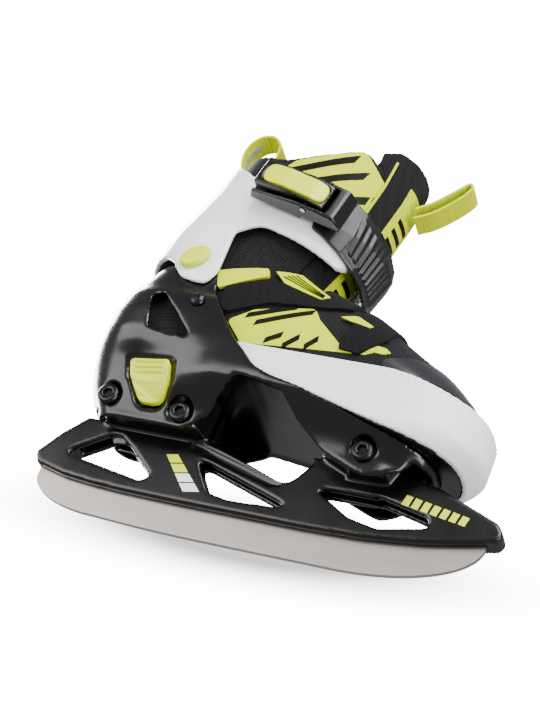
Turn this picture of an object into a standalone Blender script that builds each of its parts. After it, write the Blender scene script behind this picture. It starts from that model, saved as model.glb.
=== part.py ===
"""Adjustable children's ice skate for the right foot: a steel blade in a nylon holder, a hard heel shell
with a hinged cuff, and a soft boot whose toe slides forward to lengthen it.

Run with: blender --background --python part.py

Frame: +X points to the toe, +Z up, and -Y is the outer (lateral) side, which carries the buckle and the
size button. The origin is on the blade's flat glide zone. Sizes below are in millimetres and MM turns
them into Blender's metres.
"""
import math

import bmesh
import bpy
from mathutils import Matrix, Vector

MM = 0.001
GAP = 0.35               # between pieces that touch
RUN = 0.5                # between pieces that slide or turn on each other

# Overall sizes.
SKATE_LENGTH = 276.0     # heel tip to toe tip of the blade holder
DRAWN_LENGTH = 276.0     # the length that the x stations below are drawn at
BOOT_HALF_WIDTH = 38.0   # outside of the soft boot, without its rubber rand
SHAFT_HEIGHT = 96.0      # from the ankle pivot to the collar's top edge
SOLE_HEEL_Z = 89.0       # top of the hard sole under the heel
SOLE_TOE_Z = 66.0        # and at its front tip
SOLE_STEP = 12.0

# Blade and holder.
BLADE_THICKNESS = 3.0
BLADE_VISIBLE = 18.0     # steel below the holder at mid-length
BLADE_SEAT = 7.0         # steel hidden inside the holder
HOLDER_WALL = 3.8
HOLDER_HALF = 7.0
TOWER_HALF = 22.2        # half width of the holder's two mounting towers
TOWER_TOP_Z = 64.5       # of the front tower
REAR_TOWER_TOP_Z = 83.0

# Hard shell and cuff.
SHELL_WALL = 2.8
SOLE_THICKNESS = 4.0
CUFF_WALL = 3.0
PIVOT_X, PIVOT_Z = -83.0, 153.5
PIVOT_RADIUS = 3.4
FLEX_FORWARD = 12.0      # degrees that the cuff leans forward

# Fasteners.
BOLT_RADIUS = 3.0
BOLT_HEAD_RADIUS = 6.5
BOLT_HEAD_HEIGHT = 3.2
BOLT_SEAT_Y = 25.6       # flat seat of a bolt head on the skirt
BOLT_PLACES = {"rear": (-107.8, 65.4), "arch": (-62.2, 62.5), "front": (47.7, 59.7)}
RIVET_RADIUS = 2.2
RIVET_X, RIVET_Z = -71.4, 126.5

# Soft boot.
PADDING = 4.0
RAND_WALL = 2.6
RAND_INNER = 38.6        # half width inside the rubber rand
RAND_REAR_X = -46.0      # its rear ends, behind the shell's arms
STRAP_THICKNESS = 1.8
TONGUE_HALF = 26.0
SIZE_TRAVEL = 15.0       # how far the toe slides forward
TOE_JOINT_X = 15.0       # where the sliding toe half meets the heel half

# Ladder strap and buckle.
LADDER_THICKNESS = 2.4
LADDER_WIDTH = 34.0
BUCKLE_WIDTH = 22.0
BUCKLE_TOE_IN = 0.14     # how much the buckle turns in, following the leg, for each millimetre forward
LEVER_PIN_PLACE = (4.5, 6.5)
LEVER_PIN_RADIUS = 1.6
BUTTON_TRAVEL = 3.5
BUTTON_PROUD = 2.4
BUTTON_INNER_Y = 26.2    # inner end of the button, clear of the tower when it's pressed
SPRING_X, SPRING_Z = -86.0, 77.0
SPRING_RADIUS = 3.4
SPRING_INNER_Y = 10.0    # bottom of the spring's hole in the tower

ARC_STEPS = 11           # points on each rounded end of a plan outline
ROUND_STEPS = 16         # sides of a turned piece

COLOURS = {
    "steel": ((0.72, 0.70, 0.68), 0.28, 1.0),
    "black_plastic": ((0.012, 0.012, 0.014), 0.28, 0.0),
    "black_rubber": ((0.02, 0.02, 0.02), 0.6, 0.0),
    "white_plastic": ((0.86, 0.87, 0.89), 0.25, 0.0),
    "white_rubber": ((0.82, 0.83, 0.85), 0.45, 0.0),
    "lime_plastic": ((0.62, 0.72, 0.02), 0.35, 0.0),
    "lime_fabric": ((0.55, 0.68, 0.03), 0.8, 0.0),
    "black_fabric": ((0.015, 0.015, 0.017), 0.9, 0.0),
    "grey_fabric": ((0.12, 0.12, 0.13), 0.9, 0.0),
    "dark_steel": ((0.05, 0.05, 0.055), 0.35, 1.0),
}


# ---------------------------------------------------------------- helpers

def clear_scene():
    for thing in list(bpy.data.objects):
        bpy.data.objects.remove(thing, do_unlink=True)


def make_collection(name):
    collection = bpy.data.collections.new(name)
    bpy.context.scene.collection.children.link(collection)
    return collection


def material(name):
    found = bpy.data.materials.get(name)
    if found:
        return found
    colour, roughness, metallic = COLOURS[name]
    made = bpy.data.materials.new(name)
    made.use_nodes = True
    shader = made.node_tree.nodes["Principled BSDF"]
    shader.inputs["Base Color"].default_value = (*colour, 1.0)
    shader.inputs["Roughness"].default_value = roughness
    shader.inputs["Metallic"].default_value = metallic
    return made


def along(x):
    """A station along the skate, stretched with its length."""
    return x * SKATE_LENGTH / DRAWN_LENGTH


def smooth(t):
    t = min(max(t, 0.0), 1.0)
    return t * t * (3.0 - 2.0 * t)


def sole_z(x):
    """Top of the hard sole at a drawn station: level under the heel, then down to the toe. It runs
    straight between stations SOLE_STEP apart, so that every piece that follows it has the same facets."""
    start = math.floor(x / SOLE_STEP) * SOLE_STEP
    low, high = (SOLE_HEEL_Z - (SOLE_HEEL_Z - SOLE_TOE_Z) * smooth((s + 40.0) / 135.0)
                 for s in (start, start + SOLE_STEP))
    return low + (high - low) * (x - start) / SOLE_STEP


def mesh_object(name, vertices, faces, scale=MM):
    mesh = bpy.data.meshes.new(name)
    mesh.from_pydata([tuple(scale * c for c in v) for v in vertices], [], faces)
    mesh.update()
    return bpy.data.objects.new(name, mesh)


def keep(thing, colour=None):
    """Puts a finished piece in the skate's collection, or a cutter in the cutters' collection."""
    if colour:
        SKATE.objects.link(thing)
        thing.data.materials.clear()
        thing.data.materials.append(material(colour))
        for face in thing.data.polygons:
            face.use_smooth = True
        thing.data.set_sharp_from_angle(angle=math.radians(35.0))
        return thing
    CUTTERS.objects.link(thing)
    thing.hide_render = True
    thing.display_type = "WIRE"
    return thing


def change(thing, other, operation="DIFFERENCE"):
    modifier = thing.modifiers.new(other.name, "BOOLEAN")
    modifier.operation = operation
    modifier.object = other
    modifier.solver = "EXACT"
    return thing


def rounded(corners, steps=4):
    """Turns (x, z) or (x, z, radius) corners into an outline with round corners."""
    outline = []
    count = len(corners)
    for i, corner in enumerate(corners):
        here = Vector(corner[:2])
        radius = corner[2] if len(corner) > 2 else 0.0
        if radius <= 0.0:
            outline.append((here.x, here.y))
            continue
        before = Vector(corners[i - 1][:2]) - here
        after = Vector(corners[(i + 1) % count][:2]) - here
        half = before.angle(after) / 2.0
        reach = min(radius / math.tan(half), 0.48 * before.length, 0.48 * after.length)
        start = here + before.normalized() * reach
        end = here + after.normalized() * reach
        for k in range(steps + 1):
            t = k / steps
            point = (1 - t) ** 2 * start + 2 * t * (1 - t) * here + t ** 2 * end
            outline.append((point.x, point.y))
    return outline


def side_plate(name, outlines, half, stretch=True, y=0.0):
    """A flat piece in the XZ plane, centred on y, from closed outlines: the first is its edge, the rest
    are holes. It comes back as a mesh, so that it can be cut."""
    curve = bpy.data.curves.new(name + "_outline", "CURVE")
    curve.dimensions = "2D"
    curve.fill_mode = "BOTH"
    curve.extrude = half * MM
    for outline in outlines:
        spline = curve.splines.new("POLY")
        spline.points.add(len(outline) - 1)
        for point, (x, z) in zip(spline.points, outline):
            x = along(x) if stretch else x
            point.co = (x * MM, z * MM, 0.0, 1.0)
        spline.use_cyclic_u = True
    thing = bpy.data.objects.new(name + "_outline", curve)
    bpy.context.scene.collection.objects.link(thing)
    thing.rotation_euler = (math.pi / 2, 0.0, 0.0)
    thing.location = (0.0, y * MM, 0.0)
    bpy.context.view_layer.update()
    evaluated = thing.evaluated_get(bpy.context.evaluated_depsgraph_get())
    mesh = bpy.data.meshes.new_from_object(evaluated)
    mesh.transform(thing.matrix_world)
    weld(mesh)
    bpy.data.objects.remove(thing, do_unlink=True)
    return bpy.data.objects.new(name, mesh)


def weld(mesh):
    work = bmesh.new()
    work.from_mesh(mesh)
    bmesh.ops.remove_doubles(work, verts=work.verts, dist=0.000001)
    bmesh.ops.recalc_face_normals(work, faces=work.faces)
    work.to_mesh(mesh)
    work.free()


def box(name, low, high):
    """A cuboid between two corners."""
    size = [b - a for a, b in zip(low, high)]
    centre = [(a + b) / 2 for a, b in zip(low, high)]
    work = bmesh.new()
    bmesh.ops.create_cube(work, size=1.0)
    bmesh.ops.scale(work, vec=[s * MM for s in size], verts=work.verts)
    bmesh.ops.translate(work, vec=[c * MM for c in centre], verts=work.verts)
    mesh = bpy.data.meshes.new(name)
    work.to_mesh(mesh)
    work.free()
    return bpy.data.objects.new(name, mesh)


def rod(name, radius, start, end, sides=ROUND_STEPS, radius_end=None):
    """A cylinder, or a cone with another end radius, between two points."""
    start, end = Vector(start), Vector(end)
    direction = end - start
    turn = direction.to_track_quat("Z", "Y").to_matrix().to_4x4()
    work = bmesh.new()
    bmesh.ops.create_cone(work, cap_ends=True, segments=sides, radius1=radius * MM,
                          radius2=(radius_end or radius) * MM, depth=direction.length * MM,
                          matrix=Matrix.Translation((start + end) / 2 * MM) @ turn)
    mesh = bpy.data.meshes.new(name)
    work.to_mesh(mesh)
    work.free()
    return bpy.data.objects.new(name, mesh)


def turned(name, profile, centre, direction, steps=ROUND_STEPS):
    """A piece turned about an axis. The profile is (radius, height) from its top centre down to its
    bottom centre, and direction is where its top points."""
    mesh = bpy.data.meshes.new(name)
    mesh.from_pydata([(r * MM, 0.0, h * MM) for r, h in profile],
                     [(i, i + 1) for i in range(len(profile) - 1)], [])
    thing = bpy.data.objects.new(name, mesh)
    screw = thing.modifiers.new("turn", "SCREW")
    screw.axis = "Z"
    screw.steps = steps
    screw.render_steps = steps
    screw.use_merge_vertices = True
    screw.merge_threshold = 0.00001
    thing.matrix_world = (Matrix.Translation(Vector(centre) * MM)
                          @ Vector(direction).to_track_quat("Z", "Y").to_matrix().to_4x4())
    return thing


def loft(name, rings, flat_ends=False):
    """A closed solid through equal-length closed rings of points. Each end is a fan about its middle, or
    one flat face, which suits a ring that isn't convex."""
    count = len(rings[0])
    vertices = [p for ring in rings for p in ring]
    faces = []
    for r in range(len(rings) - 1):
        for i in range(count):
            a, b = r * count + i, r * count + (i + 1) % count
            faces.append((a, b, b + count, a + count))
    last = (len(rings) - 1) * count
    if flat_ends:
        faces += [tuple(range(count))[::-1], tuple(range(last, last + count))]
        fans = ()
    else:
        fans = ((0, True), (len(rings) - 1, False))
    for ring_index, flip in fans:
        ring = rings[ring_index]
        centre = [sum(p[k] for p in ring) / count for k in range(3)]
        vertices.append(centre)
        middle = len(vertices) - 1
        for i in range(count):
            a, b = ring_index * count + i, ring_index * count + (i + 1) % count
            faces.append((b, a, middle) if flip else (a, b, middle))
    thing = mesh_object(name, vertices, faces)
    weld(thing.data)
    return thing


def overshoot(rings, distance):
    """Moves a loft's end rings apart, so that a core reaches past the ends of what it hollows."""
    for ring, step in ((0, -distance), (-1, distance)):
        rings[ring] = [(x, y, z + step) for x, y, z in rings[ring]]
    return rings


def plan_ring(z, back, front, half, half_front=None, heel_round=36.0, toe_round=34.0, power=2.35,
              taper=0.32):
    """A level outline with round ends, seen from above, anticlockwise from its front outer corner. Its
    half width goes from half to half_front over the rear part of its sides given by taper."""
    half_front = half if half_front is None else half_front
    points = []
    for i in range(ARC_STEPS + 1):
        t = math.pi * (i / ARC_STEPS - 0.5)
        c, s = math.cos(t), math.sin(t)
        points.append((front - toe_round + toe_round * abs(c) ** (2 / power),
                       half_front * math.copysign(abs(s) ** (2 / power), s)))
    sides = 7
    heel_start, toe_start = back + heel_round, front - toe_round
    side = []
    for k in range(1, sides):
        t = k / sides
        wide = half + (half_front - half) * min((1.0 - t) / taper, 1.0)
        side.append((toe_start + (heel_start - toe_start) * t, wide))
    points += side
    for i in range(ARC_STEPS + 1):
        t = math.pi * (i / ARC_STEPS + 0.5)
        c, s = math.cos(t), math.sin(t)
        points.append((heel_start - heel_round * abs(c) ** (2 / power),
                       half * math.copysign(abs(s) ** (2 / power), s)))
    points += [(x, -y) for x, y in reversed(side)]
    return [(along(x), y, z) for x, y in points]


def cross_ring(x, half, low, high, steps=36):
    """An upright section across the boot at one station: squarish below, round on top."""
    middle = low + (high - low) * 0.42
    points = []
    for i in range(steps):
        t = 2 * math.pi * i / steps
        c, s = math.cos(t), math.sin(t)
        power = 2.4 if s > 0 else 5.0
        reach = (high - middle) if s > 0 else (middle - low)
        points.append((along(x), half * math.copysign(abs(c) ** (2 / power), c),
                       middle + reach * math.copysign(abs(s) ** (2 / power), s)))
    return points


def between(rows, x, column):
    """A value read between the two nearest rows of a list."""
    if x <= rows[0][0]:
        return rows[0][column]
    for a, b in zip(rows, rows[1:]):
        if x <= b[0]:
            return a[column] + (b[column] - a[column]) * (x - a[0]) / (b[0] - a[0])
    return rows[-1][column]


# ---------------------------------------------------------------- blade and holder

BLADE_HEEL_X, BLADE_TOE_X = -142.0, 122.5


def glide_z(x):
    """Height of the blade's bottom edge: a flat zone, a slight rocker behind it, and round ends."""
    rocker = max(0.0, -30.0 - x) ** 2 / 2294.0
    if x < -100.0:
        rise = 20.0 - 70.0 ** 2 / 2294.0
        u = min((-100.0 - x) / 42.0, 1.0)
        return 20.0 - rise * math.sqrt(max(0.0, 1.0 - u * u))
    if x > 45.0:
        u = min((x - 45.0) / 77.5, 1.0)
        return 30.0 - 30.0 * math.sqrt(max(0.0, 1.0 - u * u))
    return rocker


RAIL_STATIONS = [(-145.0, 26.0), (-124.5, 21.0), (-100.0, 18.8), (-58.0, 18.0), (20.0, 18.2),
                 (59.0, 19.6), (95.0, 24.3), (130.0, 32.5)]


def rail_z(x):
    """Height of the holder's lower edge, where the steel comes out of it."""
    return between(RAIL_STATIONS, x, 1) + BLADE_VISIBLE - 18.0


def stations(first, last, count):
    return [first + (last - first) * i / (count - 1) for i in range(count)]


def blade_outline(grow=0.0):
    heel_arc = [(-100.0 - 42.0 * math.sin(math.pi / 2 * i / 8)) for i in range(8, 0, -1)]
    toe_arc = [(45.0 + 77.5 * math.sin(math.pi / 2 * i / 9)) for i in range(1, 10)]
    bottom_x = heel_arc + stations(-100.0, -30.0, 6) + [0.0, 30.0, 45.0] + toe_arc
    bottom = [(x, glide_z(x)) for x in bottom_x]
    top_x = stations(BLADE_TOE_X, BLADE_HEEL_X, 12)
    top = [(x, rail_z(x) + BLADE_SEAT + grow) for x in top_x]
    if grow:
        top[0] = (top[0][0] + grow, top[0][1])
        top[-1] = (top[-1][0] - grow, top[-1][1])
        bottom = [(BLADE_HEEL_X - grow, -5.0), (BLADE_TOE_X + grow, -5.0)]
    return bottom + top


def build_blade():
    keep(side_plate("blade", [blade_outline()], BLADE_THICKNESS / 2), "steel")


def tower(name, levels, heel_round):
    """A mounting tower of the holder: each level is (z, back, front, half)."""
    rings = [plan_ring(z, back, front, half, heel_round=heel_round, toe_round=8.0)
             for z, back, front, half in levels]
    return keep(loft(name, rings))


def build_holder():
    lower = [(x, rail_z(x)) for x in stations(-143.5, 126.0, 16)]
    upper = [(127.5, 31.5), (131.5, 36.5, 4.0), (126.5, 43.0, 5.0), (89.0, 57.5, 6.0), (68.0, 61.0, 3.0),
             (66.0, TOWER_TOP_Z - 3), (14.0, TOWER_TOP_Z - 3), (15.5, 58.0, 10.0), (5.0, 41.0, 9.0),
             (-46.0, 58.5, 6.0), (-48.0, TOWER_TOP_Z - 3), (-113.0, TOWER_TOP_Z - 3), (-113.5, 60.0, 1.0), (-124.0, 60.0, 3.0),
             (-136.0, 47.0, 5.0), (-146.5, 32.0, 4.0)]
    windows = [
        [(-130.0, 35.0, 3.0), (-79.0, 26.5, 2.0), (-73.5, 30.5, 4.0), (-99.0, 52.0, 4.0),
         (-105.5, 52.0, 4.0)],
        [(-51.5, 48.0, 3.0), (-37.0, 27.5, 6.0), (-24.0, 25.3, 6.0), (13.0, 27.5, 2.0)],
        [(21.0, 43.0, 2.0), (45.0, 29.5, 5.0), (63.0, 26.0, 5.0), (91.0, 32.5, 2.5), (87.5, 38.5, 3.0),
         (59.0, 45.0, 8.0)],
    ]
    outlines = [rounded(lower + upper)] + [rounded(w, 3) for w in windows]
    holder = keep(side_plate("blade_holder", outlines, HOLDER_HALF), "black_plastic")
    rear_levels = [(47.0, -108.0, -62.0, 5.0), (57.0, -112.0, -54.0, 6.0),
                   (58.5, -113.3, -50.0, TOWER_HALF), (REAR_TOWER_TOP_Z, -113.3, -50.0, TOWER_HALF)]
    rear = tower("rear_tower", rear_levels, 15.0)
    front_levels = [(43.5, 30.0, 60.0, 5.0), (52.0, 34.0, 62.0, 6.0), (54.0, 38.0, 62.0, TOWER_HALF),
                    (60.0, 24.0, 64.0, TOWER_HALF), (TOWER_TOP_Z, 17.0, 66.0, TOWER_HALF)]
    front = tower("front_tower", front_levels, 8.0)
    change(holder, rear, "UNION")
    change(holder, front, "UNION")
    seat = keep(side_plate("blade_slot", [blade_outline(GAP)], BLADE_THICKNESS / 2 + GAP))
    change(holder, seat)
    tunnel_line = [(x, rail_z(x) + 12.0) for x in stations(-124.0, 104.0, 12)]
    tunnel = keep(side_plate("holder_tunnel", [tunnel_line + [(104.0, 90.0), (-124.0, 90.0)]],
                             HOLDER_HALF - HOLDER_WALL))
    change(holder, tunnel)
    for place, (x, z) in BOLT_PLACES.items():
        bore = rod("holder_bore_" + place, BOLT_RADIUS + GAP, (along(x), -40, z), (along(x), 40, z))
        change(holder, keep(bore))
    spring_hole = rod("spring_hole", SPRING_RADIUS + 1.2, (along(SPRING_X), -40, SPRING_Z),
                      (along(SPRING_X), -SPRING_INNER_Y + GAP, SPRING_Z))
    change(holder, keep(spring_hole))


# ---------------------------------------------------------------- hard shell

# height, back, front, half width behind, half width in front, rounding of the heel, of the outside
SHELL_LEVELS = [
    (46.0, -112.0, 80.0, 25.4, 25.4, 14.0), (58.0, -117.8, 82.0, 25.9, 25.9, 17.0),
    (66.0, -123.0, 85.0, 27.3, 29.5, 22.0), (74.0, -127.5, 87.0, 29.4, 38.0, 28.0),
    (82.0, -130.4, 87.5, 31.4, 44.4, 33.0), (89.0, -132.0, 88.0, 34.4, 45.2, 36.0),
    (97.0, -132.2, 88.0, 39.8, 45.2, 37.0), (104.0, -132.0, 88.0, 42.4, 45.2, 37.0),
    (118.0, -130.8, 88.0, 43.4, 44.8, 37.0), (129.0, -127.8, 88.0, 43.2, 43.8, 36.0),
    (135.0, -125.5, 88.0, 41.0, 41.0, 36.0), (141.0, -122.0, 88.0, 41.0, 41.0, 36.0),
    (151.0, -116.4, 88.0, 41.0, 41.0, 36.0), (162.0, -115.8, 88.0, 41.0, 41.0, 36.0),
    (176.0, -112.8, 88.0, 41.0, 41.0, 36.0),
]
WIDTH_DRAWN = 38.0
WALL_ADDED = SHELL_WALL - 2.8    # the shell's inside stays put, so a thicker wall grows outward


def widen(half):
    """A half width drawn for the standard boot, moved out or in with the boot's own half width."""
    return half + (BOOT_HALF_WIDTH - WIDTH_DRAWN)


def shell_width(half, z):
    """The shell keeps its foot, which fits the holder's towers, and widens with the boot above it."""
    return half + (BOOT_HALF_WIDTH - WIDTH_DRAWN) * smooth((z - 60.0) / 25.0)


def shell_loft(name, inset):
    inset -= WALL_ADDED
    rings = [plan_ring(z, back + inset, front - inset, shell_width(half, z) - inset,
                       shell_width(half_front, z) - inset, heel_round=heel - 0.3 * inset)
             for z, back, front, half, half_front, heel in SHELL_LEVELS]
    return loft(name, overshoot(rings, inset))


def sole_line(first, last, rise=0.0, shift=0.0):
    """Points along the top of the sole, moved up by rise, as if the sole were moved forward by shift."""
    low, high = min(first, last), max(first, last)
    inner = [k * SOLE_STEP + shift for k in range(-20, 20) if low < k * SOLE_STEP + shift < high]
    line = [(x, sole_z(x - shift) + rise) for x in [low, *inner, high]]
    return line if first < last else line[::-1]


BUTTON_CORNERS = [(-100.8, 86.6, 3.0), (-73.8, 86.6, 3.0), (-71.9, 77.0, 5.0), (-74.5, 63.0, 7.0),
                  (-87.5, 63.0, 7.0), (-97.3, 77.0, 4.0)]


def grown(corners, grow):
    """An outline's corners moved outward from its middle."""
    middle_x = sum(c[0] for c in corners) / len(corners)
    middle_z = sum(c[1] for c in corners) / len(corners)
    moved = []
    for x, z, radius in corners:
        away = Vector((x - middle_x, z - middle_z))
        away = away.normalized() * (away.length + grow)
        moved.append((middle_x + away.x, middle_z + away.y, radius))
    return moved


def shell_view():
    """The hard shell from the side: skirts below, the sole's line in front, and the arms up to the pivot."""
    under = -SOLE_THICKNESS - 1.2
    view = [(-150.0, 61.0), (-114.2, 61.0), (-112.6, 53.4), (-58.0, 53.8, 8.0), (-46.0, 63.5, 6.0),
            (-39.0, 74.0, 8.0), *sole_line(-32.0, -4.0, rise=under), (6.0, 69.5, 6.0), (24.0, 56.0, 16.0),
            (52.0, 45.5, 16.0), (69.0, 54.0, 8.0), *sole_line(74.0, 96.0, rise=under)]
    view += sole_line(96.0, -10.0)
    view += [(-15.0, sole_z(-15.0) + 0.6), (-23.0, 90.0, 20.0), (-43.0, 108.0, 8.0), (-64.0, 135.0, 12.0),
             (-68.0, 150.0, 12.0), (-70.5, 165.0, 12.0), (-90.0, 165.0, 12.0), (-93.0, 154.0, 6.0),
             (-97.0, 151.0, 4.0), (-150.0, 151.0)]
    return view


def build_shell():
    shell = keep(shell_loft("base_shell", 0.0), "black_plastic")
    view = shell_view()
    change(shell, keep(side_plate("shell_side_view", [rounded(view)], 80.0)), "INTERSECT")
    core = keep(shell_loft("shell_core", SHELL_WALL))
    slab = keep(side_plate("sole_slab", [sole_line(-150.0, 110.0) +
                                         sole_line(110.0, -150.0, rise=-SOLE_THICKNESS)], 80.0))
    change(core, slab)
    change(shell, core)
    window = rounded([(-100.0, 126.0, 2.0), (-93.0, 128.5, 3.0), (-66.5, 101.0, 2.5), (-94.5, 104.5, 2.5)])
    change(shell, keep(side_plate("arm_windows", [window], 80.0)))
    opening = rounded(grown(BUTTON_CORNERS, GAP + 0.2))
    change(shell, keep(side_plate("button_opening", [opening], 14.0, y=-34.0)))
    for place, (x, z) in BOLT_PLACES.items():
        for side in (-1, 1):
            seat = rod(f"bolt_seat_{place}_{side}", BOLT_HEAD_RADIUS + 1.5, (along(x), side * BOLT_SEAT_Y, z),
                       (along(x), side * 60, z))
            change(shell, keep(seat))
        change(shell, keep(rod("shell_bore_" + place, BOLT_RADIUS + GAP, (along(x), -70, z),
                               (along(x), 70, z))))
    change(shell, keep(rod("shell_pivot_bore", PIVOT_RADIUS + GAP, (along(PIVOT_X), -70, PIVOT_Z),
                           (along(PIVOT_X), 70, PIVOT_Z))))
    change(shell, keep(rod("shell_rivet_bore", RIVET_RADIUS + GAP, (along(RIVET_X), -70, RIVET_Z),
                           (along(RIVET_X), 70, RIVET_Z))))


def shell_half_at(z):
    return shell_width(between([(level[0], max(level[3], level[4])) for level in SHELL_LEVELS], z, 1), z) + WALL_ADDED


def build_bolts():
    for place, (x, z) in BOLT_PLACES.items():
        seat = BOLT_SEAT_Y + GAP
        head = [(0.0, BOLT_HEAD_HEIGHT - 1.8), (1.9, BOLT_HEAD_HEIGHT - 1.8), (2.4, BOLT_HEAD_HEIGHT),
                (BOLT_HEAD_RADIUS - 1.0, BOLT_HEAD_HEIGHT), (BOLT_HEAD_RADIUS, BOLT_HEAD_HEIGHT - 1.0),
                (BOLT_HEAD_RADIUS, 0.0), (BOLT_RADIUS, 0.0), (BOLT_RADIUS, -2 * seat + 4.0),
                (0.0, -2 * seat + 4.0)]
        keep(turned("frame_bolt_" + place, head, (along(x), -seat, z), (0, -1, 0)), "dark_steel")
        nut = [(0.0, BOLT_HEAD_HEIGHT), (BOLT_HEAD_RADIUS - 1.0, BOLT_HEAD_HEIGHT),
               (BOLT_HEAD_RADIUS, BOLT_HEAD_HEIGHT - 1.0), (BOLT_HEAD_RADIUS, 0.0), (BOLT_RADIUS, 0.0),
               (BOLT_RADIUS, -3.0), (0.0, -3.0)]
        keep(turned("frame_nut_" + place, nut, (along(x), seat, z), (0, 1, 0)), "dark_steel")


def build_rivets():
    wall = shell_half_at(RIVET_Z - 4.0)
    for name, side in (("arm_rivet_lateral", -1), ("arm_rivet_medial", 1)):
        profile = [(0.0, 2.0), (2.2, 1.8), (3.8, 0.9), (4.4, 0.0), (RIVET_RADIUS, 0.0),
                   (RIVET_RADIUS, -SHELL_WALL - 0.2), (0.0, -SHELL_WALL - 0.2)]
        centre = (along(RIVET_X), side * (wall + GAP), RIVET_Z)
        keep(turned(name, profile, centre, (0, side, 0)), "dark_steel")


# ---------------------------------------------------------------- size adjustment

def build_button():
    """A push button whose face stands proud of the shell. It reaches in to its spring in the tower."""
    proud = keep(shell_loft("button_face", -BUTTON_PROUD))
    outer = 60.0
    button = side_plate("size_button", [rounded(BUTTON_CORNERS)], (outer - BUTTON_INNER_Y) / 2,
                        y=-(outer + BUTTON_INNER_Y) / 2)
    keep(button, "lime_plastic")
    change(button, proud, "INTERSECT")


def build_button_spring():
    """The return spring behind the button, a coil along Y. It's drawn short of its hole's bottom by the
    button's travel, so that it moves with the button."""
    turns, per_turn, wire = 4, 8, 0.5
    first = -BUTTON_INNER_Y + GAP + wire
    last = -SPRING_INNER_Y - BUTTON_TRAVEL - GAP - wire
    curve = bpy.data.curves.new("button_spring_path", "CURVE")
    curve.dimensions = "3D"
    curve.bevel_depth = wire * MM
    curve.bevel_resolution = 1
    curve.use_fill_caps = True
    spline = curve.splines.new("POLY")
    count = turns * per_turn + 1
    spline.points.add(count - 1)
    for i, point in enumerate(spline.points):
        t = i / (count - 1)
        angle = 2 * math.pi * turns * t
        point.co = ((along(SPRING_X) + SPRING_RADIUS * math.cos(angle)) * MM,
                    (first + (last - first) * t) * MM, (SPRING_Z + SPRING_RADIUS * math.sin(angle)) * MM, 1.0)
    thing = bpy.data.objects.new("button_spring_path", curve)
    bpy.context.scene.collection.objects.link(thing)
    bpy.context.view_layer.update()
    mesh = bpy.data.meshes.new_from_object(thing.evaluated_get(bpy.context.evaluated_depsgraph_get()))
    weld(mesh)
    bpy.data.objects.remove(thing, do_unlink=True)
    keep(bpy.data.objects.new("button_spring", mesh), "steel")


def rand_ring(z, inset, back=-95.0):
    """A level outline of the rubber rand's outside, moved in by inset. It leans in at its foot and top."""
    foot_lean, top_lean = smooth((78.0 - z) / 25.0) * 20.0, smooth((z - 92.0) / 20.0) * 5.0
    return plan_ring(z, back, 108.0 - foot_lean - top_lean - inset,
                     widen(RAND_INNER) + RAND_WALL - 0.3 * foot_lean - inset,
                     heel_round=20.0, toe_round=46.0 - inset / 3.0)


def build_carriage():
    """The sliding sole of the toe: it follows the hard sole, with a rail that runs back under the heel."""
    low, high = GAP, 3.6
    outline = sole_line(-108.0, 100.0, rise=low) + sole_line(100.0, -108.0, rise=high)
    carriage = keep(side_plate("toe_carriage", [outline], 60.0), "black_plastic")
    levels = [rand_ring(z, RAND_WALL + GAP, back=-140.0) for z in (55.0, 75.0, 110.0)]
    change(carriage, keep(loft("carriage_edge", levels)), "INTERSECT")
    rail = 22.0
    for side in (-1, 1):
        y = sorted((side * rail, side * 60.0))
        cutter = box(f"rail_side_{side}", (along(-150.0), y[0], 50.0), (along(RAND_REAR_X), y[1], 120.0))
        change(carriage, keep(cutter))
    for i in range(4):
        x = along(-96.0) + i * SIZE_TRAVEL / 3
        change(carriage, keep(box(f"rack_notch_{i}", (x, -rail - 2.0, 80.0), (x + 2.2, -rail + 2.4, 100.0))))


# station, half width, top ridge, of the boot's outside. The ridge dips at the instep, where the cuff and
# its strap come down when the ankle bends.
BOOT_STATIONS = [
    (-124.0, 18.0, 166.0), (-119.0, 26.0, 186.0), (-107.0, 33.0, 196.0), (-88.0, 37.0, 200.0),
    (-60.0, 38.0, 195.0), (-35.0, 38.0, 170.0), (-15.0, 38.0, 152.0), (5.0, 38.0, 148.4), (28.0, 38.0, 147.5),
    (45.0, 37.6, 140.0), (62.0, 36.5, 130.0), (78.0, 33.5, 121.0), (89.0, 28.5, 112.5), (97.0, 22.0, 104.0),
    (101.5, 14.5, 97.0), (104.0, 7.0, 91.0),
]


def boot_loft(name, grow=0.0, base=4.2, shift=0.0):
    """The boot from heel to toe, grown outward by grow, its floor at base above the sole."""
    rings = []
    for x, half, high in BOOT_STATIONS:
        end = -1.0 if x < -100.0 else (1.0 if x > 90.0 else 0.0)
        toe_lift = 14.0 * smooth((x - 86.0) / 18.0)
        floor = min(sole_z(x - shift) + base + toe_lift - grow, high + grow - 3.0)
        rings.append(cross_ring(x + end * grow, max(half * BOOT_HALF_WIDTH / WIDTH_DRAWN + grow, 2.0), floor, high + grow))
    return loft(name, rings)


def ankle_wedge(name):
    """The room that the cuff, its liner and the tongue sweep through above the boot."""
    corner = line_from_pivot(4.0 - FLEX_FORWARD, 77.0)
    outline = [(-160.0, 150.2), (PIVOT_X, 150.2), corner, (corner[0] + 2.0, corner[1] + 12.0),
               (corner[0] + 1.0, 240.0), (-160.0, 240.0)]
    return keep(side_plate(name, [outline], 90.0))


def heel_space(name, inset):
    """The boot's heel half moved in by inset, held inside the hard shell. Its floor clears the rail."""
    space = boot_loft(name, grow=-inset, base=4.4, shift=SIZE_TRAVEL)
    return change(space, keep(shell_loft(name + "_in_shell", SHELL_WALL + GAP + inset)), "INTERSECT")


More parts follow.
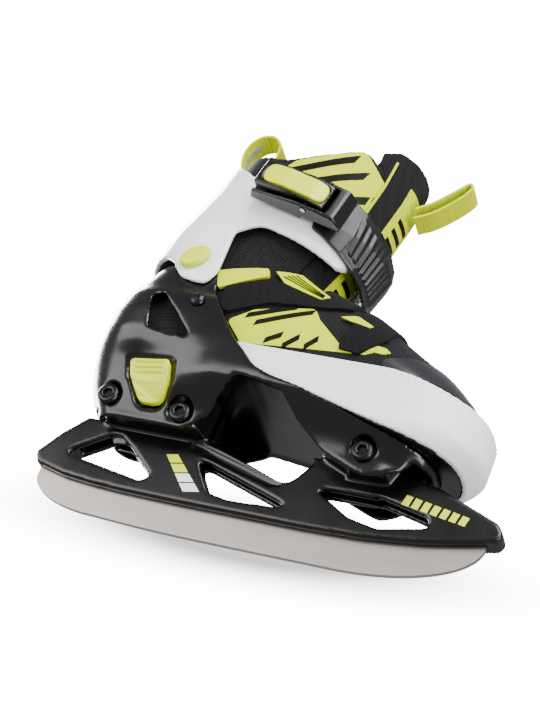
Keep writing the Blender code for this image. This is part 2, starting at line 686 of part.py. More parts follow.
def build_upper():
    wedge = ankle_wedge("ankle_sweep")
    rear = keep(heel_space("heel_upper", 0.0), "black_fabric")
    change(rear, keep(heel_space("heel_room", PADDING)))
    change(rear, wedge)
    change(rear, keep(box("toe_side", (along(TOE_JOINT_X), -90, 40), (along(200.0), 90, 200))))
    toe = keep(boot_loft("toe_upper"), "black_fabric")
    toe_room = keep(boot_loft("toe_room", grow=-PADDING))
    change(toe, toe_room)
    change(toe, keep(box("heel_side", (along(-200.0), -90, 40), (along(TOE_JOINT_X) + GAP, 90, 240))))


def rand_top(x):
    return 106.0 - 9.0 * smooth((x - 45.0) / 60.0)


def build_rand():
    heights = (55.0, 75.0, 90.0, 100.0, 112.0)
    rand = keep(loft("toe_rand", [rand_ring(z, 0.0) for z in heights]), "white_rubber")
    room = [rand_ring(z, RAND_WALL, back=-120.0) for z in heights]
    change(rand, keep(loft("rand_room", overshoot(room, 2.0))))
    bottom = sole_line(RAND_REAR_X, 120.0, rise=GAP)
    top = [(x, rand_top(x)) for x in stations(120.0, RAND_REAR_X, 14)]
    change(rand, keep(side_plate("rand_side_view", [bottom + top], 90.0)), "INTERSECT")


def build_footbed():
    outline = sole_line(-125.0, TOE_JOINT_X - 1.0, rise=4.0, shift=SIZE_TRAVEL)
    outline += sole_line(TOE_JOINT_X - 1.0, -125.0, rise=12.4, shift=SIZE_TRAVEL)
    footbed = keep(side_plate("footbed", [outline], 60.0), "grey_fabric")
    change(footbed, keep(heel_space("footbed_edge", PADDING + GAP)), "INTERSECT")


def boot_strap(name, outline, lift, colour):
    """A strap laid over the boot, cut to an outline drawn from the side."""
    strap = keep(boot_loft(name, grow=lift + STRAP_THICKNESS), colour)
    change(strap, keep(boot_loft(name + "_under", grow=lift)))
    change(strap, keep(side_plate(name + "_side_view", [rounded(outline)], 90.0)), "INTERSECT")
    return strap


def build_straps():
    instep = boot_strap("instep_strap", [(-60.0, 124.0, 3.0), (-54.0, 118.0, 3.0), (-20.0, 124.0, 12.0),
                                         (12.0, 136.0, 8.0), (14.3, 175.0), (-5.0, 175.0), (-8.0, 143.5, 6.0),
                                         (-58.0, 147.0, 4.0)], 0.6, "black_fabric")
    change(instep, bpy.data.objects["ankle_sweep"])
    boot_strap("forefoot_strap", [(18.0, 113.0), (30.0, 111.5), (42.0, 125.0, 6.0), (44.0, 160.0), (22.0, 160.0),
                                  (20.0, 128.0, 6.0), (17.0, 119.0)], 0.5, "black_fabric")


# ---------------------------------------------------------------- shaft, tongue and cuff

# height above the pivot, back, front, half width, of the liner's outside
SHAFT_LEVELS = [
    (-25.0, -121.0, -8.0, 36.4), (-4.0, -112.0, -12.0, 37.0), (7.0, -109.5, -15.5, 37.0),
    (23.0, -108.0, -9.0, 37.0), (52.0, -99.5, 5.0, 37.0), (82.0, -92.0, 12.5, 36.4), (103.0, -87.0, 15.5, 35.8),
    (118.0, -84.0, 17.0, 35.4),
]
SHAFT_DRAWN = 96.0


def shaft_z(height):
    """Height of a level above the pivot, stretched with the shaft above the ankle."""
    if height <= 7.0:
        return PIVOT_Z + height
    return PIVOT_Z + 7.0 + (height - 7.0) * (SHAFT_HEIGHT - 7.0) / (SHAFT_DRAWN - 7.0)


def shaft_loft(name, grow, back_grow=None, front_grow=None):
    back_grow = grow if back_grow is None else back_grow
    front_grow = grow if front_grow is None else front_grow
    rings = [plan_ring(shaft_z(h), back - back_grow, front + front_grow, widen(half) + grow,
                       heel_round=34.0 + grow, toe_round=52.0 + grow)
             for h, back, front, half in SHAFT_LEVELS]
    return loft(name, rings)


def line_from_pivot(degrees, reach):
    angle = math.radians(degrees)
    return (PIVOT_X + reach * math.cos(angle), PIVOT_Z + reach * math.sin(angle))


def build_liner():
    outer_half = TONGUE_HALF + RUN
    liner = keep(shaft_loft("ankle_liner", 0.0), "black_fabric")
    change(liner, keep(shaft_loft("leg_room", -PADDING - 1.0)))
    collar = rounded([line_from_pivot(6.0, 110.0), (25.0, shaft_z(60.0)), (12.0, shaft_z(80.0), 10.0),
                      (-14.0, shaft_z(101.0), 10.0), (-60.0, shaft_z(84.0), 20.0), (-100.0, shaft_z(92.0), 8.0),
                      (-130.0, shaft_z(92.0)), (-130.0, 156.0), (PIVOT_X, 154.0)])
    change(liner, keep(side_plate("liner_side_view", [collar], 90.0)), "INTERSECT")
    throat = box("throat", (along(-55.0), -outer_half, 100.0), (along(60.0), outer_half, 320.0))
    change(liner, keep(throat))


def build_tongue():
    tongue = keep(shaft_loft("tongue", 0.0), "black_fabric")
    change(tongue, keep(shaft_loft("tongue_room", -PADDING - 2.0)))
    top = rounded([line_from_pivot(7.0, 110.0), (40.0, shaft_z(107.0)), (5.0, shaft_z(109.0), 10.0),
                   (-30.0, shaft_z(104.0), 6.0), (-50.0, shaft_z(85.0)), (-50.0, shaft_z(20.0)),
                   line_from_pivot(7.0, 40.0)])
    change(tongue, keep(side_plate("tongue_side_view", [top], TONGUE_HALF)), "INTERSECT")


# height above the pivot, back and front, half width, of the cuff's inside
CUFF_LEVELS = [
    (-20.0, -123.0, -8.0, 41.6), (-6.0, -118.5, -7.0, 41.6), (8.0, -116.0, -4.0, 41.6), (23.0, -113.0, 0.0, 41.6),
    (40.0, -106.5, 6.0, 41.0), (58.0, -100.0, 9.5, 40.0), (84.0, -94.5, 14.0, 38.6),
]


def cuff_loft(name, grow):
    grow += WALL_ADDED
    rings = [plan_ring(shaft_z(h), back - grow, front + grow, widen(half) + grow, heel_round=36.0 + grow,
                       toe_round=56.0 + grow) for h, back, front, half in CUFF_LEVELS]
    return loft(name, rings)


def build_cuff():
    cuff = keep(cuff_loft("cuff", CUFF_WALL), "white_plastic")
    change(cuff, keep(cuff_loft("cuff_room", 0.0)))
    view = rounded([(-96.0, 150.0, 8.0), (-88.0, 140.0, 10.0), (-72.0, 137.5, 8.0), (-67.0, 147.0, 5.0),
                    (-67.0, 176.0, 5.0), (-54.0, shaft_z(30.0), 14.0), (-26.0, shaft_z(23.5), 14.0),
                    (-6.0, shaft_z(18.5), 7.0), (-1.0, shaft_z(27.0), 6.0), (-10.0, shaft_z(47.0), 14.0),
                    (-40.0, shaft_z(60.0), 14.0), (-70.0, shaft_z(64.0), 12.0), (-95.0, shaft_z(82.0), 8.0),
                    (-130.0, shaft_z(82.0)), (-130.0, 155.0), (-104.0, 155.0, 6.0)])
    change(cuff, keep(side_plate("cuff_side_view", [view], 90.0)), "INTERSECT")
    change(cuff, keep(rod("cuff_pivot_bore", PIVOT_RADIUS + RUN, (along(PIVOT_X), -70, PIVOT_Z),
                          (along(PIVOT_X), 70, PIVOT_Z))))


def build_pivots():
    inner = shell_half_at(PIVOT_Z) - SHELL_WALL
    outer = widen(41.6) + WALL_ADDED + CUFF_WALL
    head = 1.4
    cap_long, cap_short = 9.6, 6.5
    for side, name in ((-1, "lateral"), (1, "medial")):
        length = outer - inner + 0.4
        profile = [(0.0, head), (4.3, head), (4.9, head - 0.6), (4.9, 0.0), (PIVOT_RADIUS, 0.0),
                   (PIVOT_RADIUS, -length + 0.6), (0.0, -length + 0.6)]
        keep(turned("pivot_bolt_" + name, profile, (along(PIVOT_X), side * (outer + GAP), PIVOT_Z), (0, side, 0)),
             "dark_steel")
        cap_rings = []
        for size, rise in ((1.0, GAP), (1.0, 2.6), (0.86, 3.8), (0.45, 4.4)):
            ring = []
            for i in range(20):
                t = 2 * math.pi * i / 20 * side
                u, w = cap_long * size * math.cos(t), cap_short * size * math.sin(t)
                tilt = math.radians(38.0)
                ring.append((along(PIVOT_X) + u * math.cos(tilt) - w * math.sin(tilt),
                             side * (outer + rise), PIVOT_Z + u * math.sin(tilt) + w * math.cos(tilt)))
            cap_rings.append(ring)
        cap = keep(loft("pivot_cap_" + name, cap_rings), "lime_plastic")
        pocket = rod("cap_pocket_" + name, 5.3, (along(PIVOT_X), side * (outer - 2.0), PIVOT_Z),
                     (along(PIVOT_X), side * (outer + GAP + head + 0.4), PIVOT_Z))
        change(cap, keep(pocket))


def tab_loop(name, path, half_width, thickness, colour):
    """A folded webbing loop: path is (x, z) through its middle, and the loop lies across Y."""
    left, right = [], []
    for i, (x, z) in enumerate(path):
        before = Vector(path[max(i - 1, 0)])
        after = Vector(path[min(i + 1, len(path) - 1)])
        normal = (after - before).normalized()
        normal = Vector((-normal.y, normal.x)) * thickness / 2
        left.append((x + normal.x, z + normal.y))
        right.append((x - normal.x, z - normal.y))
    keep(side_plate(name, [left + right[::-1]], half_width), colour)


def build_tabs():
    back_top = shaft_z(88.0)
    heel = [(-92.5, back_top), (-98.0, back_top + 8.0), (-99.5, back_top + 20.0), (-94.0, back_top + 31.0),
            (-86.0, back_top + 33.5), (-79.5, back_top + 28.0), (-78.5, back_top + 16.0)]
    base_z = shaft_z(83.0)
    front = [(14.8, base_z), (24.0, base_z + 6.0), (36.0, base_z + 18.0), (41.0, base_z + 24.0),
             (44.5, base_z + 21.0), (38.0, base_z + 11.0), (26.0, base_z - 1.0), (15.5, base_z - 7.0)]
    tab_loop("heel_pull_tab", [(x - 1.5, z) for x, z in heel], 8.0, 1.4, "lime_fabric")
    tab_loop("tongue_pull_tab", [(x + 2.2, z) for x, z in front], 8.0, 1.4, "lime_fabric")


# ---------------------------------------------------------------- ladder strap and buckle

STRAP_X, STRAP_Z = -10.0, 199.0      # middle of the ladder strap where it leaves the buckle
STRAP_SLOPE = 0.42                   # how much it drops for each millimetre forward
STRAP_LEAN = 0.10                    # and for each millimetre towards the inner side


def strap_middle(x, y):
    return STRAP_Z - STRAP_SLOPE * (x - STRAP_X) - STRAP_LEAN * (y + 44.0)


def strap_band(name, half_width, back):
    """A slanted slab that keeps only the ladder strap's band of a tube around the leg."""
    corners = []
    for x in (back, 60.0):
        for y in (-80.0, 80.0):
            for side in (-1, 1):
                corners.append((along(x), y, strap_middle(x, y) + side * half_width))
    faces = [(0, 1, 3, 2), (4, 6, 7, 5), (0, 4, 5, 1), (2, 3, 7, 6), (0, 2, 6, 4), (1, 5, 7, 3)]
    band = mesh_object(name, corners, faces)
    weld(band.data)
    return keep(band)


def build_ladder_strap():
    inner = CUFF_WALL + RUN
    strap = keep(cuff_loft("ladder_strap", inner + LADDER_THICKNESS), "black_plastic")
    change(strap, keep(cuff_loft("strap_inside", inner)))
    change(strap, strap_band("strap_band", LADDER_WIDTH / 2, -46.0), "INTERSECT")
    trim = box("strap_lateral_trim", (along(-60.0), -70.0, 150.0), (along(-24.0), 0.0, 260.0))
    change(strap, keep(trim))


def buckle_frame():
    """Placement of the buckle on the cuff's outer side: u runs forward along the strap, v points away
    from the leg and w lies across the strap."""
    drop = math.radians(12.0)
    u = Vector((math.cos(drop), BUCKLE_TOE_IN, -math.sin(drop))).normalized()
    v = Vector((BUCKLE_TOE_IN, -1.0, 0.0))
    v = (v - v.dot(u) * u).normalized()
    w = u.cross(v)
    strap_outside = widen(41.0) + WALL_ADDED + CUFF_WALL + RUN + LADDER_THICKNESS
    origin = Vector((along(-30.5), -(strap_outside + RUN + 1.6), shaft_z(48.5)))
    return Matrix(((u.x, v.x, w.x, origin.x), (u.y, v.y, w.y, origin.y), (u.z, v.z, w.z, origin.z),
                   (0, 0, 0, 1)))


def buckle_plate(name, corners, low, high, frame, steps=3):
    """A plate drawn in the buckle's u-v plane (its side view), from w = low to w = high."""
    outline = rounded(corners, steps)
    rings = [[tuple(frame @ Vector((u, v, w))) for u, v in outline] for w in (low, high)]
    return loft(name, rings, flat_ends=True)


def buckle_slab(name, corners, low, high, frame, steps=4):
    """A plate drawn in the u-w plane (from outside), from v = low to v = high."""
    outline = rounded(corners, steps)
    rings = [[tuple(frame @ Vector((u, v, w))) for u, w in outline] for v in (low, high)]
    return loft(name, rings)


def build_buckle():
    frame = buckle_frame()
    half = BUCKLE_WIDTH / 2
    cheek = 2.2
    side_view = [(-32.0, -4.4, 1.0), (1.5, -4.4, 0.6), (2.5, -1.6, 0.5), (27.0, -1.6, 1.0), (28.5, 3.0, 2.0),
                 (24.0, 9.6, 3.0), (10.0, 10.4, 3.0), (-2.0, 10.0, 3.0), (-31.0, 3.8, 2.0)]
    base = keep(buckle_plate("buckle_base", side_view, -half, half, frame), "black_plastic")
    trough = buckle_plate("buckle_trough", [(-34.0, -0.4), (18.0, -0.4), (18.0, 14.0), (-34.0, 14.0)],
                          -half + cheek, half - cheek, frame)
    change(base, keep(trough))
    lever_half = half - cheek - RUN
    lever_view = [(-29.5, 5.2, 1.5), (-6.0, 4.6, 3.0), (0.8, 2.6, 2.0), (8.0, 2.8, 2.5), (9.0, 9.0, 1.0),
                  (16.0, 9.0, 0.8), (16.0, 11.6, 1.5), (6.0, 13.6, 8.0), (-12.0, 13.6, 8.0), (-30.0, 10.8, 2.0)]
    lever = keep(buckle_plate("buckle_lever", lever_view, -lever_half, lever_half, frame), "black_plastic")
    for thing, room in ((base, GAP), (lever, RUN)):
        bore = rod(thing.name + "_bore", LEVER_PIN_RADIUS + room, frame @ Vector((*LEVER_PIN_PLACE, -half - 5)),
                   frame @ Vector((*LEVER_PIN_PLACE, half + 5)), sides=12)
        change(thing, keep(bore))
    back, front, side, pocket_floor = -26.0, 14.5, 6.4, 10.4
    pocket = [(back - GAP, -side - GAP, 5.6), (front + GAP, -side - GAP, 5.6), (front + GAP, side + GAP, 5.6),
              (back - GAP, side + GAP, 5.6)]
    change(lever, keep(buckle_slab("inlay_pocket", pocket, pocket_floor, 20.0, frame)))
    corners = [(back, -side, 5.4), (front, -side, 5.4), (front, side, 5.4), (back, side, 5.4)]
    inlay = keep(buckle_slab("lever_inlay", corners, pocket_floor + GAP, 20.0, frame), "lime_plastic")
    face = buckle_plate("inlay_face", [(-29.0, 8.0), (17.5, 8.0), (17.5, 12.2, 5.0), (6.0, 14.8, 8.0),
                                       (-12.0, 14.8, 8.0), (-29.0, 11.6, 4.0)], -half, half, frame)
    change(inlay, keep(face), "INTERSECT")
    keep(rod("lever_pin", LEVER_PIN_RADIUS, frame @ Vector((*LEVER_PIN_PLACE, -half - 0.6)),
             frame @ Vector((*LEVER_PIN_PLACE, half + 0.6)), sides=12), "steel")


# ---------------------------------------------------------------- build everything

clear_scene()
SKATE = make_collection("ice_skate")
CUTTERS = make_collection("cutters")

build_blade()
build_holder()
build_shell()
build_bolts()
build_rivets()
build_button()
build_button_spring()
build_carriage()
build_upper()
build_rand()
build_footbed()
build_straps()
build_liner()
build_tongue()
build_cuff()
build_pivots()
build_tabs()
build_ladder_strap()
build_buckle()
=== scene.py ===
# %% [markdown]
# # A child's adjustable ice skate
#
# This notebook dresses the engineering model of a right-foot ice skate. The model already fixes every size
# and every hinge. Here each piece gets the shape and surface it has on the real skate: moulded nylon with
# soft edges, a glossy white cuff, mesh fabric with sewn-on panels, a rubber rand and a brushed steel blade.

# %% Load the frame
import math

import bmesh
import bpy
import numpy as np
from mathutils import Matrix, Vector


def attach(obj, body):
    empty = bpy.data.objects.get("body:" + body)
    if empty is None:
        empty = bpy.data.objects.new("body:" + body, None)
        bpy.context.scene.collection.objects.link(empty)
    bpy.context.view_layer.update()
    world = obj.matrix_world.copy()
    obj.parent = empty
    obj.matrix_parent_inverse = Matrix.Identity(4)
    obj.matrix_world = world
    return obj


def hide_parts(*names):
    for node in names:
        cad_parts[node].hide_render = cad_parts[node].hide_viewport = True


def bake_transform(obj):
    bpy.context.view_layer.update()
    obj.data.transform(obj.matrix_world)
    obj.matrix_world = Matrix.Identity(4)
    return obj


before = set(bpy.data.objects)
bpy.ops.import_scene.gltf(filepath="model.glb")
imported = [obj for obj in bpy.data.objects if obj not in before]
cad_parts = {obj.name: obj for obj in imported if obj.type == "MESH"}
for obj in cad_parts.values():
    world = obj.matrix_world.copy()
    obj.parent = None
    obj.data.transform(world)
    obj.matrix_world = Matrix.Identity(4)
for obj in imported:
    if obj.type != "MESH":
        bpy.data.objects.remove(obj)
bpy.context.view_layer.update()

# %% [markdown]
# ## Working units and small mesh helpers
#
# Outlines are easiest to think about in millimetres, so every helper takes millimetres and `MM` turns them
# into Blender's metres. The frame's axes are kept: +X is the toe, +Z is up, and -Y is the outer side.

# %% Units and mesh helpers
MM = 0.001
WIDE = 80    # half width of a plate that cuts right across the skate


def show(thing):
    """Links a finished piece into the scene with smooth faces and crisp corners."""
    bpy.context.scene.collection.objects.link(thing)
    thing.data.polygons.foreach_set("use_smooth", [True] * len(thing.data.polygons))
    thing.data.set_sharp_from_angle(angle=math.radians(38.0))
    return thing


def from_points(name, points, faces):
    mesh = bpy.data.meshes.new(name)
    mesh.from_pydata((np.asarray(points, float) * MM).tolist(), [], faces)
    mesh.update()
    return bpy.data.objects.new(name, mesh)


def tidy_mesh(mesh):
    """Joins doubled points and turns every face outward."""
    work = bmesh.new()
    work.from_mesh(mesh)
    bmesh.ops.remove_doubles(work, verts=work.verts, dist=0.000002)
    bmesh.ops.recalc_face_normals(work, faces=work.faces)
    work.to_mesh(mesh)
    work.free()


def apply_modifiers(thing):
    bpy.context.view_layer.update()
    graph = bpy.context.evaluated_depsgraph_get()
    made = bpy.data.meshes.new_from_object(thing.evaluated_get(graph))
    thing.modifiers.clear()
    thing.data = made
    return thing

# %% [markdown]
# ## Cutting shapes from shapes
#
# Most pieces start as a smooth solid that is cut to its outline as seen from the side. A Boolean does that in
# one step, and the Manifold solver is quick enough to use dozens of times.

# %% Booleans and rounding
def combine(thing, other, operation="DIFFERENCE"):
    """Cuts, joins or crops one solid with another, which is used up."""
    for each in (thing, other):
        if each.name not in bpy.context.scene.collection.objects:
            bpy.context.scene.collection.objects.link(each)
    modifier = thing.modifiers.new("combine", "BOOLEAN")
    modifier.operation = operation
    modifier.object = other
    modifier.solver = "MANIFOLD"
    apply_modifiers(thing)
    if len(thing.data.polygons) == 0:
        print("EMPTY after", operation, thing.name, other.name)
    bpy.data.objects.remove(other, do_unlink=True)
    bpy.context.scene.collection.objects.unlink(thing)
    return thing


def mould(thing, voxel, passes):
    """Remeshes a solid evenly and relaxes it, which rounds each edge as a mould does."""
    bpy.context.scene.collection.objects.link(thing)
    remesh = thing.modifiers.new("remesh", "REMESH")
    remesh.mode = "VOXEL"
    remesh.voxel_size = voxel * MM
    relax = thing.modifiers.new("relax", "SMOOTH")
    relax.factor = 0.5
    relax.iterations = passes
    apply_modifiers(thing)
    bpy.context.scene.collection.objects.unlink(thing)
    return thing


def round_corners(corners, steps=8):
    """Turns (x, z) or (x, z, radius) corners of a closed outline into points with round corners."""
    outline = []
    for i, corner in enumerate(corners):
        here = Vector(corner[:2])
        radius = corner[2] if len(corner) > 2 else 0.0
        if radius <= 0.0:
            outline.append((here.x, here.y))
            continue
        before = Vector(corners[i - 1][:2]) - here
        after = Vector(corners[(i + 1) % len(corners)][:2]) - here
        half = before.angle(after) / 2.0
        reach = min(radius / math.tan(half), 0.48 * before.length, 0.48 * after.length)
        start, end = here + before.normalized() * reach, here + after.normalized() * reach
        for k in range(steps + 1):
            t = k / steps
            point = (1 - t) ** 2 * start + 2 * t * (1 - t) * here + t ** 2 * end
            outline.append((point.x, point.y))
    return outline


def plate(name, outline, low_y, high_y, holes=()):
    """A flat plate drawn from the side, between two y values."""
    curve = bpy.data.curves.new(name, "CURVE")
    curve.dimensions = "2D"
    curve.fill_mode = "BOTH"
    curve.extrude = (high_y - low_y) / 2 * MM
    for line in (outline, *holes):
        spline = curve.splines.new("POLY")
        spline.points.add(len(line) - 1)
        for point, (x, z) in zip(spline.points, line):
            point.co = (x * MM, z * MM, 0.0, 1.0)
        spline.use_cyclic_u = True
    drawn = bpy.data.objects.new(name, curve)
    bpy.context.scene.collection.objects.link(drawn)
    drawn.rotation_euler = (math.pi / 2, 0.0, 0.0)
    drawn.location = (0.0, (high_y + low_y) / 2 * MM, 0.0)
    bpy.context.view_layer.update()
    mesh = bpy.data.meshes.new_from_object(drawn.evaluated_get(bpy.context.evaluated_depsgraph_get()))
    mesh.transform(drawn.matrix_world)
    tidy_mesh(mesh)
    bpy.data.objects.remove(drawn, do_unlink=True)
    return bpy.data.objects.new(name, mesh)

# %% [markdown]
# ## Lofts: rings that a skin is stretched over
#
# The shell, the cuff and the boot are all stacks of outlines. `level_ring` draws one level outline with round
# ends, `soften_rows` turns a short table of levels into many that change gently, and `skin` covers them.

# %% Loft helpers
def soften_rows(rows, step, reach):
    """Fills a table in between its rows and smooths each column over about reach millimetres."""
    rows = np.array(rows, float)
    stations = np.arange(rows[0, 0], rows[-1, 0] + step * 0.5, step)
    offsets = np.arange(-3, 4) * reach / 3.0
    weights = np.exp(-0.5 * (offsets / (reach / 2.0)) ** 2)
    columns = [stations]
    for k in range(1, rows.shape[1]):
        value = sum(w * np.interp(stations + o, rows[:, 0], rows[:, k]) for o, w in zip(offsets, weights))
        columns.append(value / weights.sum())
    return np.array(columns).T


def bulge(angles, power=2.35):
    c, s = np.cos(angles), np.sin(angles)
    return np.abs(c) ** (2 / power), np.sign(s) * np.abs(s) ** (2 / power)


def level_ring(z, back, front, half, half_front, heel_round, toe_round, taper=0.32, arc=30, side=36):
    """One level outline, anticlockwise from its front outer corner."""
    c, s = bulge(np.linspace(-math.pi / 2, math.pi / 2, arc + 1))
    nose = np.stack([front - toe_round + toe_round * c, half_front * s], 1)
    heel = np.stack([back + heel_round - heel_round * c, -half * s], 1)
    t = np.arange(1, side) / side
    wide = half + (half_front - half) * np.minimum((1 - t) / taper, 1.0)
    far = np.stack([front - toe_round + (back + heel_round - front + toe_round) * t, wide], 1)
    ring = np.concatenate([nose, far, heel, far[::-1] * (1, -1)])
    return np.column_stack([ring, np.full(len(ring), z)])


def skin(name, rings):
    """A closed solid through rings of equal length."""
    rings = np.asarray(rings)
    count, size = rings.shape[:2]
    faces = []
    for r in range(count - 1):
        for i in range(size):
            a, b = r * size + i, r * size + (i + 1) % size
            faces.append((a, b, b + size, a + size))
    faces.append(tuple(range(size))[::-1])
    faces.append(tuple(range((count - 1) * size, count * size)))
    thing = from_points(name, rings.reshape(-1, 3), faces)
    tidy_mesh(thing.data)
    return thing


def side_distance(points, outline):
    """Distance of (x, z) points from an outline, negative inside it."""
    line = np.array(outline, float)
    best = np.full(len(points), 1e9)
    inside = np.zeros(len(points), bool)
    for a, b in zip(line, np.roll(line, -1, axis=0)):
        edge = b - a
        t = np.clip(((points - a) @ edge) / max(edge @ edge, 1e-9), 0, 1)
        best = np.minimum(best, np.linalg.norm(points - (a + t[:, None] * edge), axis=1))
        crosses = (a[1] > points[:, 1]) != (b[1] > points[:, 1])
        with np.errstate(divide="ignore", invalid="ignore"):
            at = a[0] + (points[:, 1] - a[1]) / (b[1] - a[1]) * edge[0]
        inside ^= crosses & (points[:, 0] < at)
    return np.where(inside, -best, best)


def press(thing, outline, depth, soft=1.5, outside_of=0.0, side=0):
    """Pushes the part of a moulded wall inside an outline in by depth, with a soft rim. A negative depth
    raises it. side picks the outer (-1) or inner (1) side of the skate, or both (0)."""
    mesh = thing.data
    points = np.empty(len(mesh.vertices) * 3)
    mesh.vertices.foreach_get("co", points)
    points = points.reshape(-1, 3) / MM
    distance = side_distance(points[:, [0, 2]], outline)
    weight = np.clip((soft - distance) / (2 * soft), 0, 1)
    weight = weight * weight * (3 - 2 * weight) * (np.abs(points[:, 1]) > outside_of)
    if side:
        weight *= np.sign(points[:, 1]) == side
    points[:, 1] -= np.sign(points[:, 1]) * depth * weight
    mesh.vertices.foreach_set("co", (points * MM).ravel())
    mesh.update()
    return thing


def disc(x, z, radius, steps=40):
    return [(x + radius * math.cos(2 * math.pi * k / steps), z + radius * math.sin(2 * math.pi * k / steps))
            for k in range(steps)]

# %% [markdown]
# ## Finishes
#
# Each finish is a few procedural nodes on a Principled shader: a colour, a roughness, and a bump at the scale
# that the real surface shows. Coordinates are the object's own, so patterns stay put when a piece moves.

# %% Plastic and metal finishes
def start_material(name, colour, roughness, metallic=0.0):
    made = bpy.data.materials.new(name)
    made.use_nodes = True
    nodes, links = made.node_tree.nodes, made.node_tree.links
    shader = nodes["Principled BSDF"]
    shader.inputs["Base Color"].default_value = (*colour, 1.0)
    shader.inputs["Roughness"].default_value = roughness
    shader.inputs["Metallic"].default_value = metallic
    place = nodes.new("ShaderNodeTexCoord")
    return made, nodes, links, shader, place.outputs["Object"]


def add_bump(nodes, links, shader, height, strength, distance):
    bump = nodes.new("ShaderNodeBump")
    bump.inputs["Strength"].default_value = strength
    bump.inputs["Distance"].default_value = distance * MM
    links.new(height, bump.inputs["Height"])
    links.new(bump.outputs["Normal"], shader.inputs["Normal"])
    return bump


def add_noise(nodes, links, where, scale, detail=3.0, stretch=None):
    noise = nodes.new("ShaderNodeTexNoise")
    noise.inputs["Scale"].default_value = scale
    noise.inputs["Detail"].default_value = detail
    if stretch:
        mapping = nodes.new("ShaderNodeMapping")
        mapping.inputs["Scale"].default_value = stretch
        links.new(where, mapping.inputs["Vector"])
        where = mapping.outputs["Vector"]
    links.new(where, noise.inputs["Vector"])
    return noise.outputs["Fac"]


def add_ramp(nodes, links, value, low, high, low_at=0.3, high_at=0.7):
    ramp = nodes.new("ShaderNodeValToRGB")
    ramp.color_ramp.elements[0].color = (*low, 1.0)
    ramp.color_ramp.elements[1].color = (*high, 1.0)
    ramp.color_ramp.elements[0].position = low_at
    ramp.color_ramp.elements[1].position = high_at
    links.new(value, ramp.inputs["Fac"])
    return ramp.outputs["Color"]


def moulded_plastic(name, colour, roughness, grain=0.05, coat=0.0):
    """Injection-moulded plastic: a faint orange peel, and gloss that varies a little from place to place."""
    made, nodes, links, shader, where = start_material(name, colour, roughness)
    shader.inputs["Coat Weight"].default_value = coat
    shader.inputs["Coat Roughness"].default_value = 0.12
    peel = add_noise(nodes, links, where, 520.0, 2.0)
    add_bump(nodes, links, shader, peel, grain, 0.25)
    wear = add_noise(nodes, links, where, 38.0, 4.0)
    spread = add_ramp(nodes, links, wear, [roughness * 0.82] * 3, [min(roughness * 1.25, 1.0)] * 3)
    links.new(spread, shader.inputs["Roughness"])
    return made


BLACK_PLASTIC = moulded_plastic("black_nylon", (0.0022, 0.0022, 0.0026), 0.22, 0.06)
WHITE_PLASTIC = moulded_plastic("white_gloss", (0.93, 0.94, 0.96), 0.22, 0.03, coat=0.35)
LIME_PLASTIC = moulded_plastic("lime_satin", (0.70, 0.78, 0.0), 0.36, 0.05)
STRAP_PLASTIC = moulded_plastic("strap_nylon", (0.005, 0.005, 0.006), 0.30, 0.10)

# %% Brushed steel
def brushed_steel(name, colour, roughness, streak=(30.0, 900.0, 900.0)):
    """Ground steel: fine scratches that all run one way, and faint cloudy stains between them."""
    made, nodes, links, shader, where = start_material(name, colour, roughness, metallic=1.0)
    scratches = add_noise(nodes, links, where, 1.0, 4.0, stretch=streak)
    add_bump(nodes, links, shader, scratches, 0.22, 0.05)
    clouds = add_noise(nodes, links, where, 1.0, 5.0, stretch=(14.0, 60.0, 60.0))
    tint = add_ramp(nodes, links, clouds, [c * 0.80 for c in colour], colour, 0.25, 0.6)
    links.new(tint, shader.inputs["Base Color"])
    return made


BLADE_STEEL = brushed_steel("blade_steel", (0.56, 0.51, 0.47), 0.33)
DARK_STEEL = brushed_steel("blackened_steel", (0.035, 0.035, 0.038), 0.30, streak=(400.0, 400.0, 400.0))
PIN_STEEL = brushed_steel("pin_steel", (0.72, 0.70, 0.68), 0.22, streak=(300.0, 300.0, 300.0))

# %% Fabrics and rubber
def mesh_fabric(name, colour, dark, size=1.15, sheen=0.25, depth=0.5):
    """A knitted spacer mesh: rows of small holes, darker than the yarn between them."""
    made, nodes, links, shader, where = start_material(name, colour, 0.85)
    shader.inputs["Specular IOR Level"].default_value = 0.12
    shader.inputs["Sheen Weight"].default_value = sheen
    shader.inputs["Sheen Roughness"].default_value = 0.5
    waves = []
    for turn in ((0.0, 0.0, 0.0), (0.6, 0.9, 0.4), (-0.7, 0.5, 0.9)):
        mapping = nodes.new("ShaderNodeMapping")
        mapping.inputs["Rotation"].default_value = turn
        links.new(where, mapping.inputs["Vector"])
        wave = nodes.new("ShaderNodeTexWave")
        wave.inputs["Scale"].default_value = 1.0 / (size * MM) / 3.2
        wave.bands_direction = "DIAGONAL"
        links.new(mapping.outputs["Vector"], wave.inputs["Vector"])
        waves.append(wave.outputs["Fac"])
    product = waves[0]
    for other in waves[1:]:
        multiply = nodes.new("ShaderNodeMath")
        multiply.operation = "MULTIPLY"
        links.new(product, multiply.inputs[0])
        links.new(other, multiply.inputs[1])
        product = multiply.outputs["Value"]
    tint = add_ramp(nodes, links, product, colour, dark, 0.12, 0.5)
    links.new(tint, shader.inputs["Base Color"])
    invert = nodes.new("ShaderNodeMath")
    invert.operation = "SUBTRACT"
    invert.inputs[0].default_value = 1.0
    links.new(product, invert.inputs[1])
    add_bump(nodes, links, shader, invert.outputs["Value"], depth, 0.35)
    return made


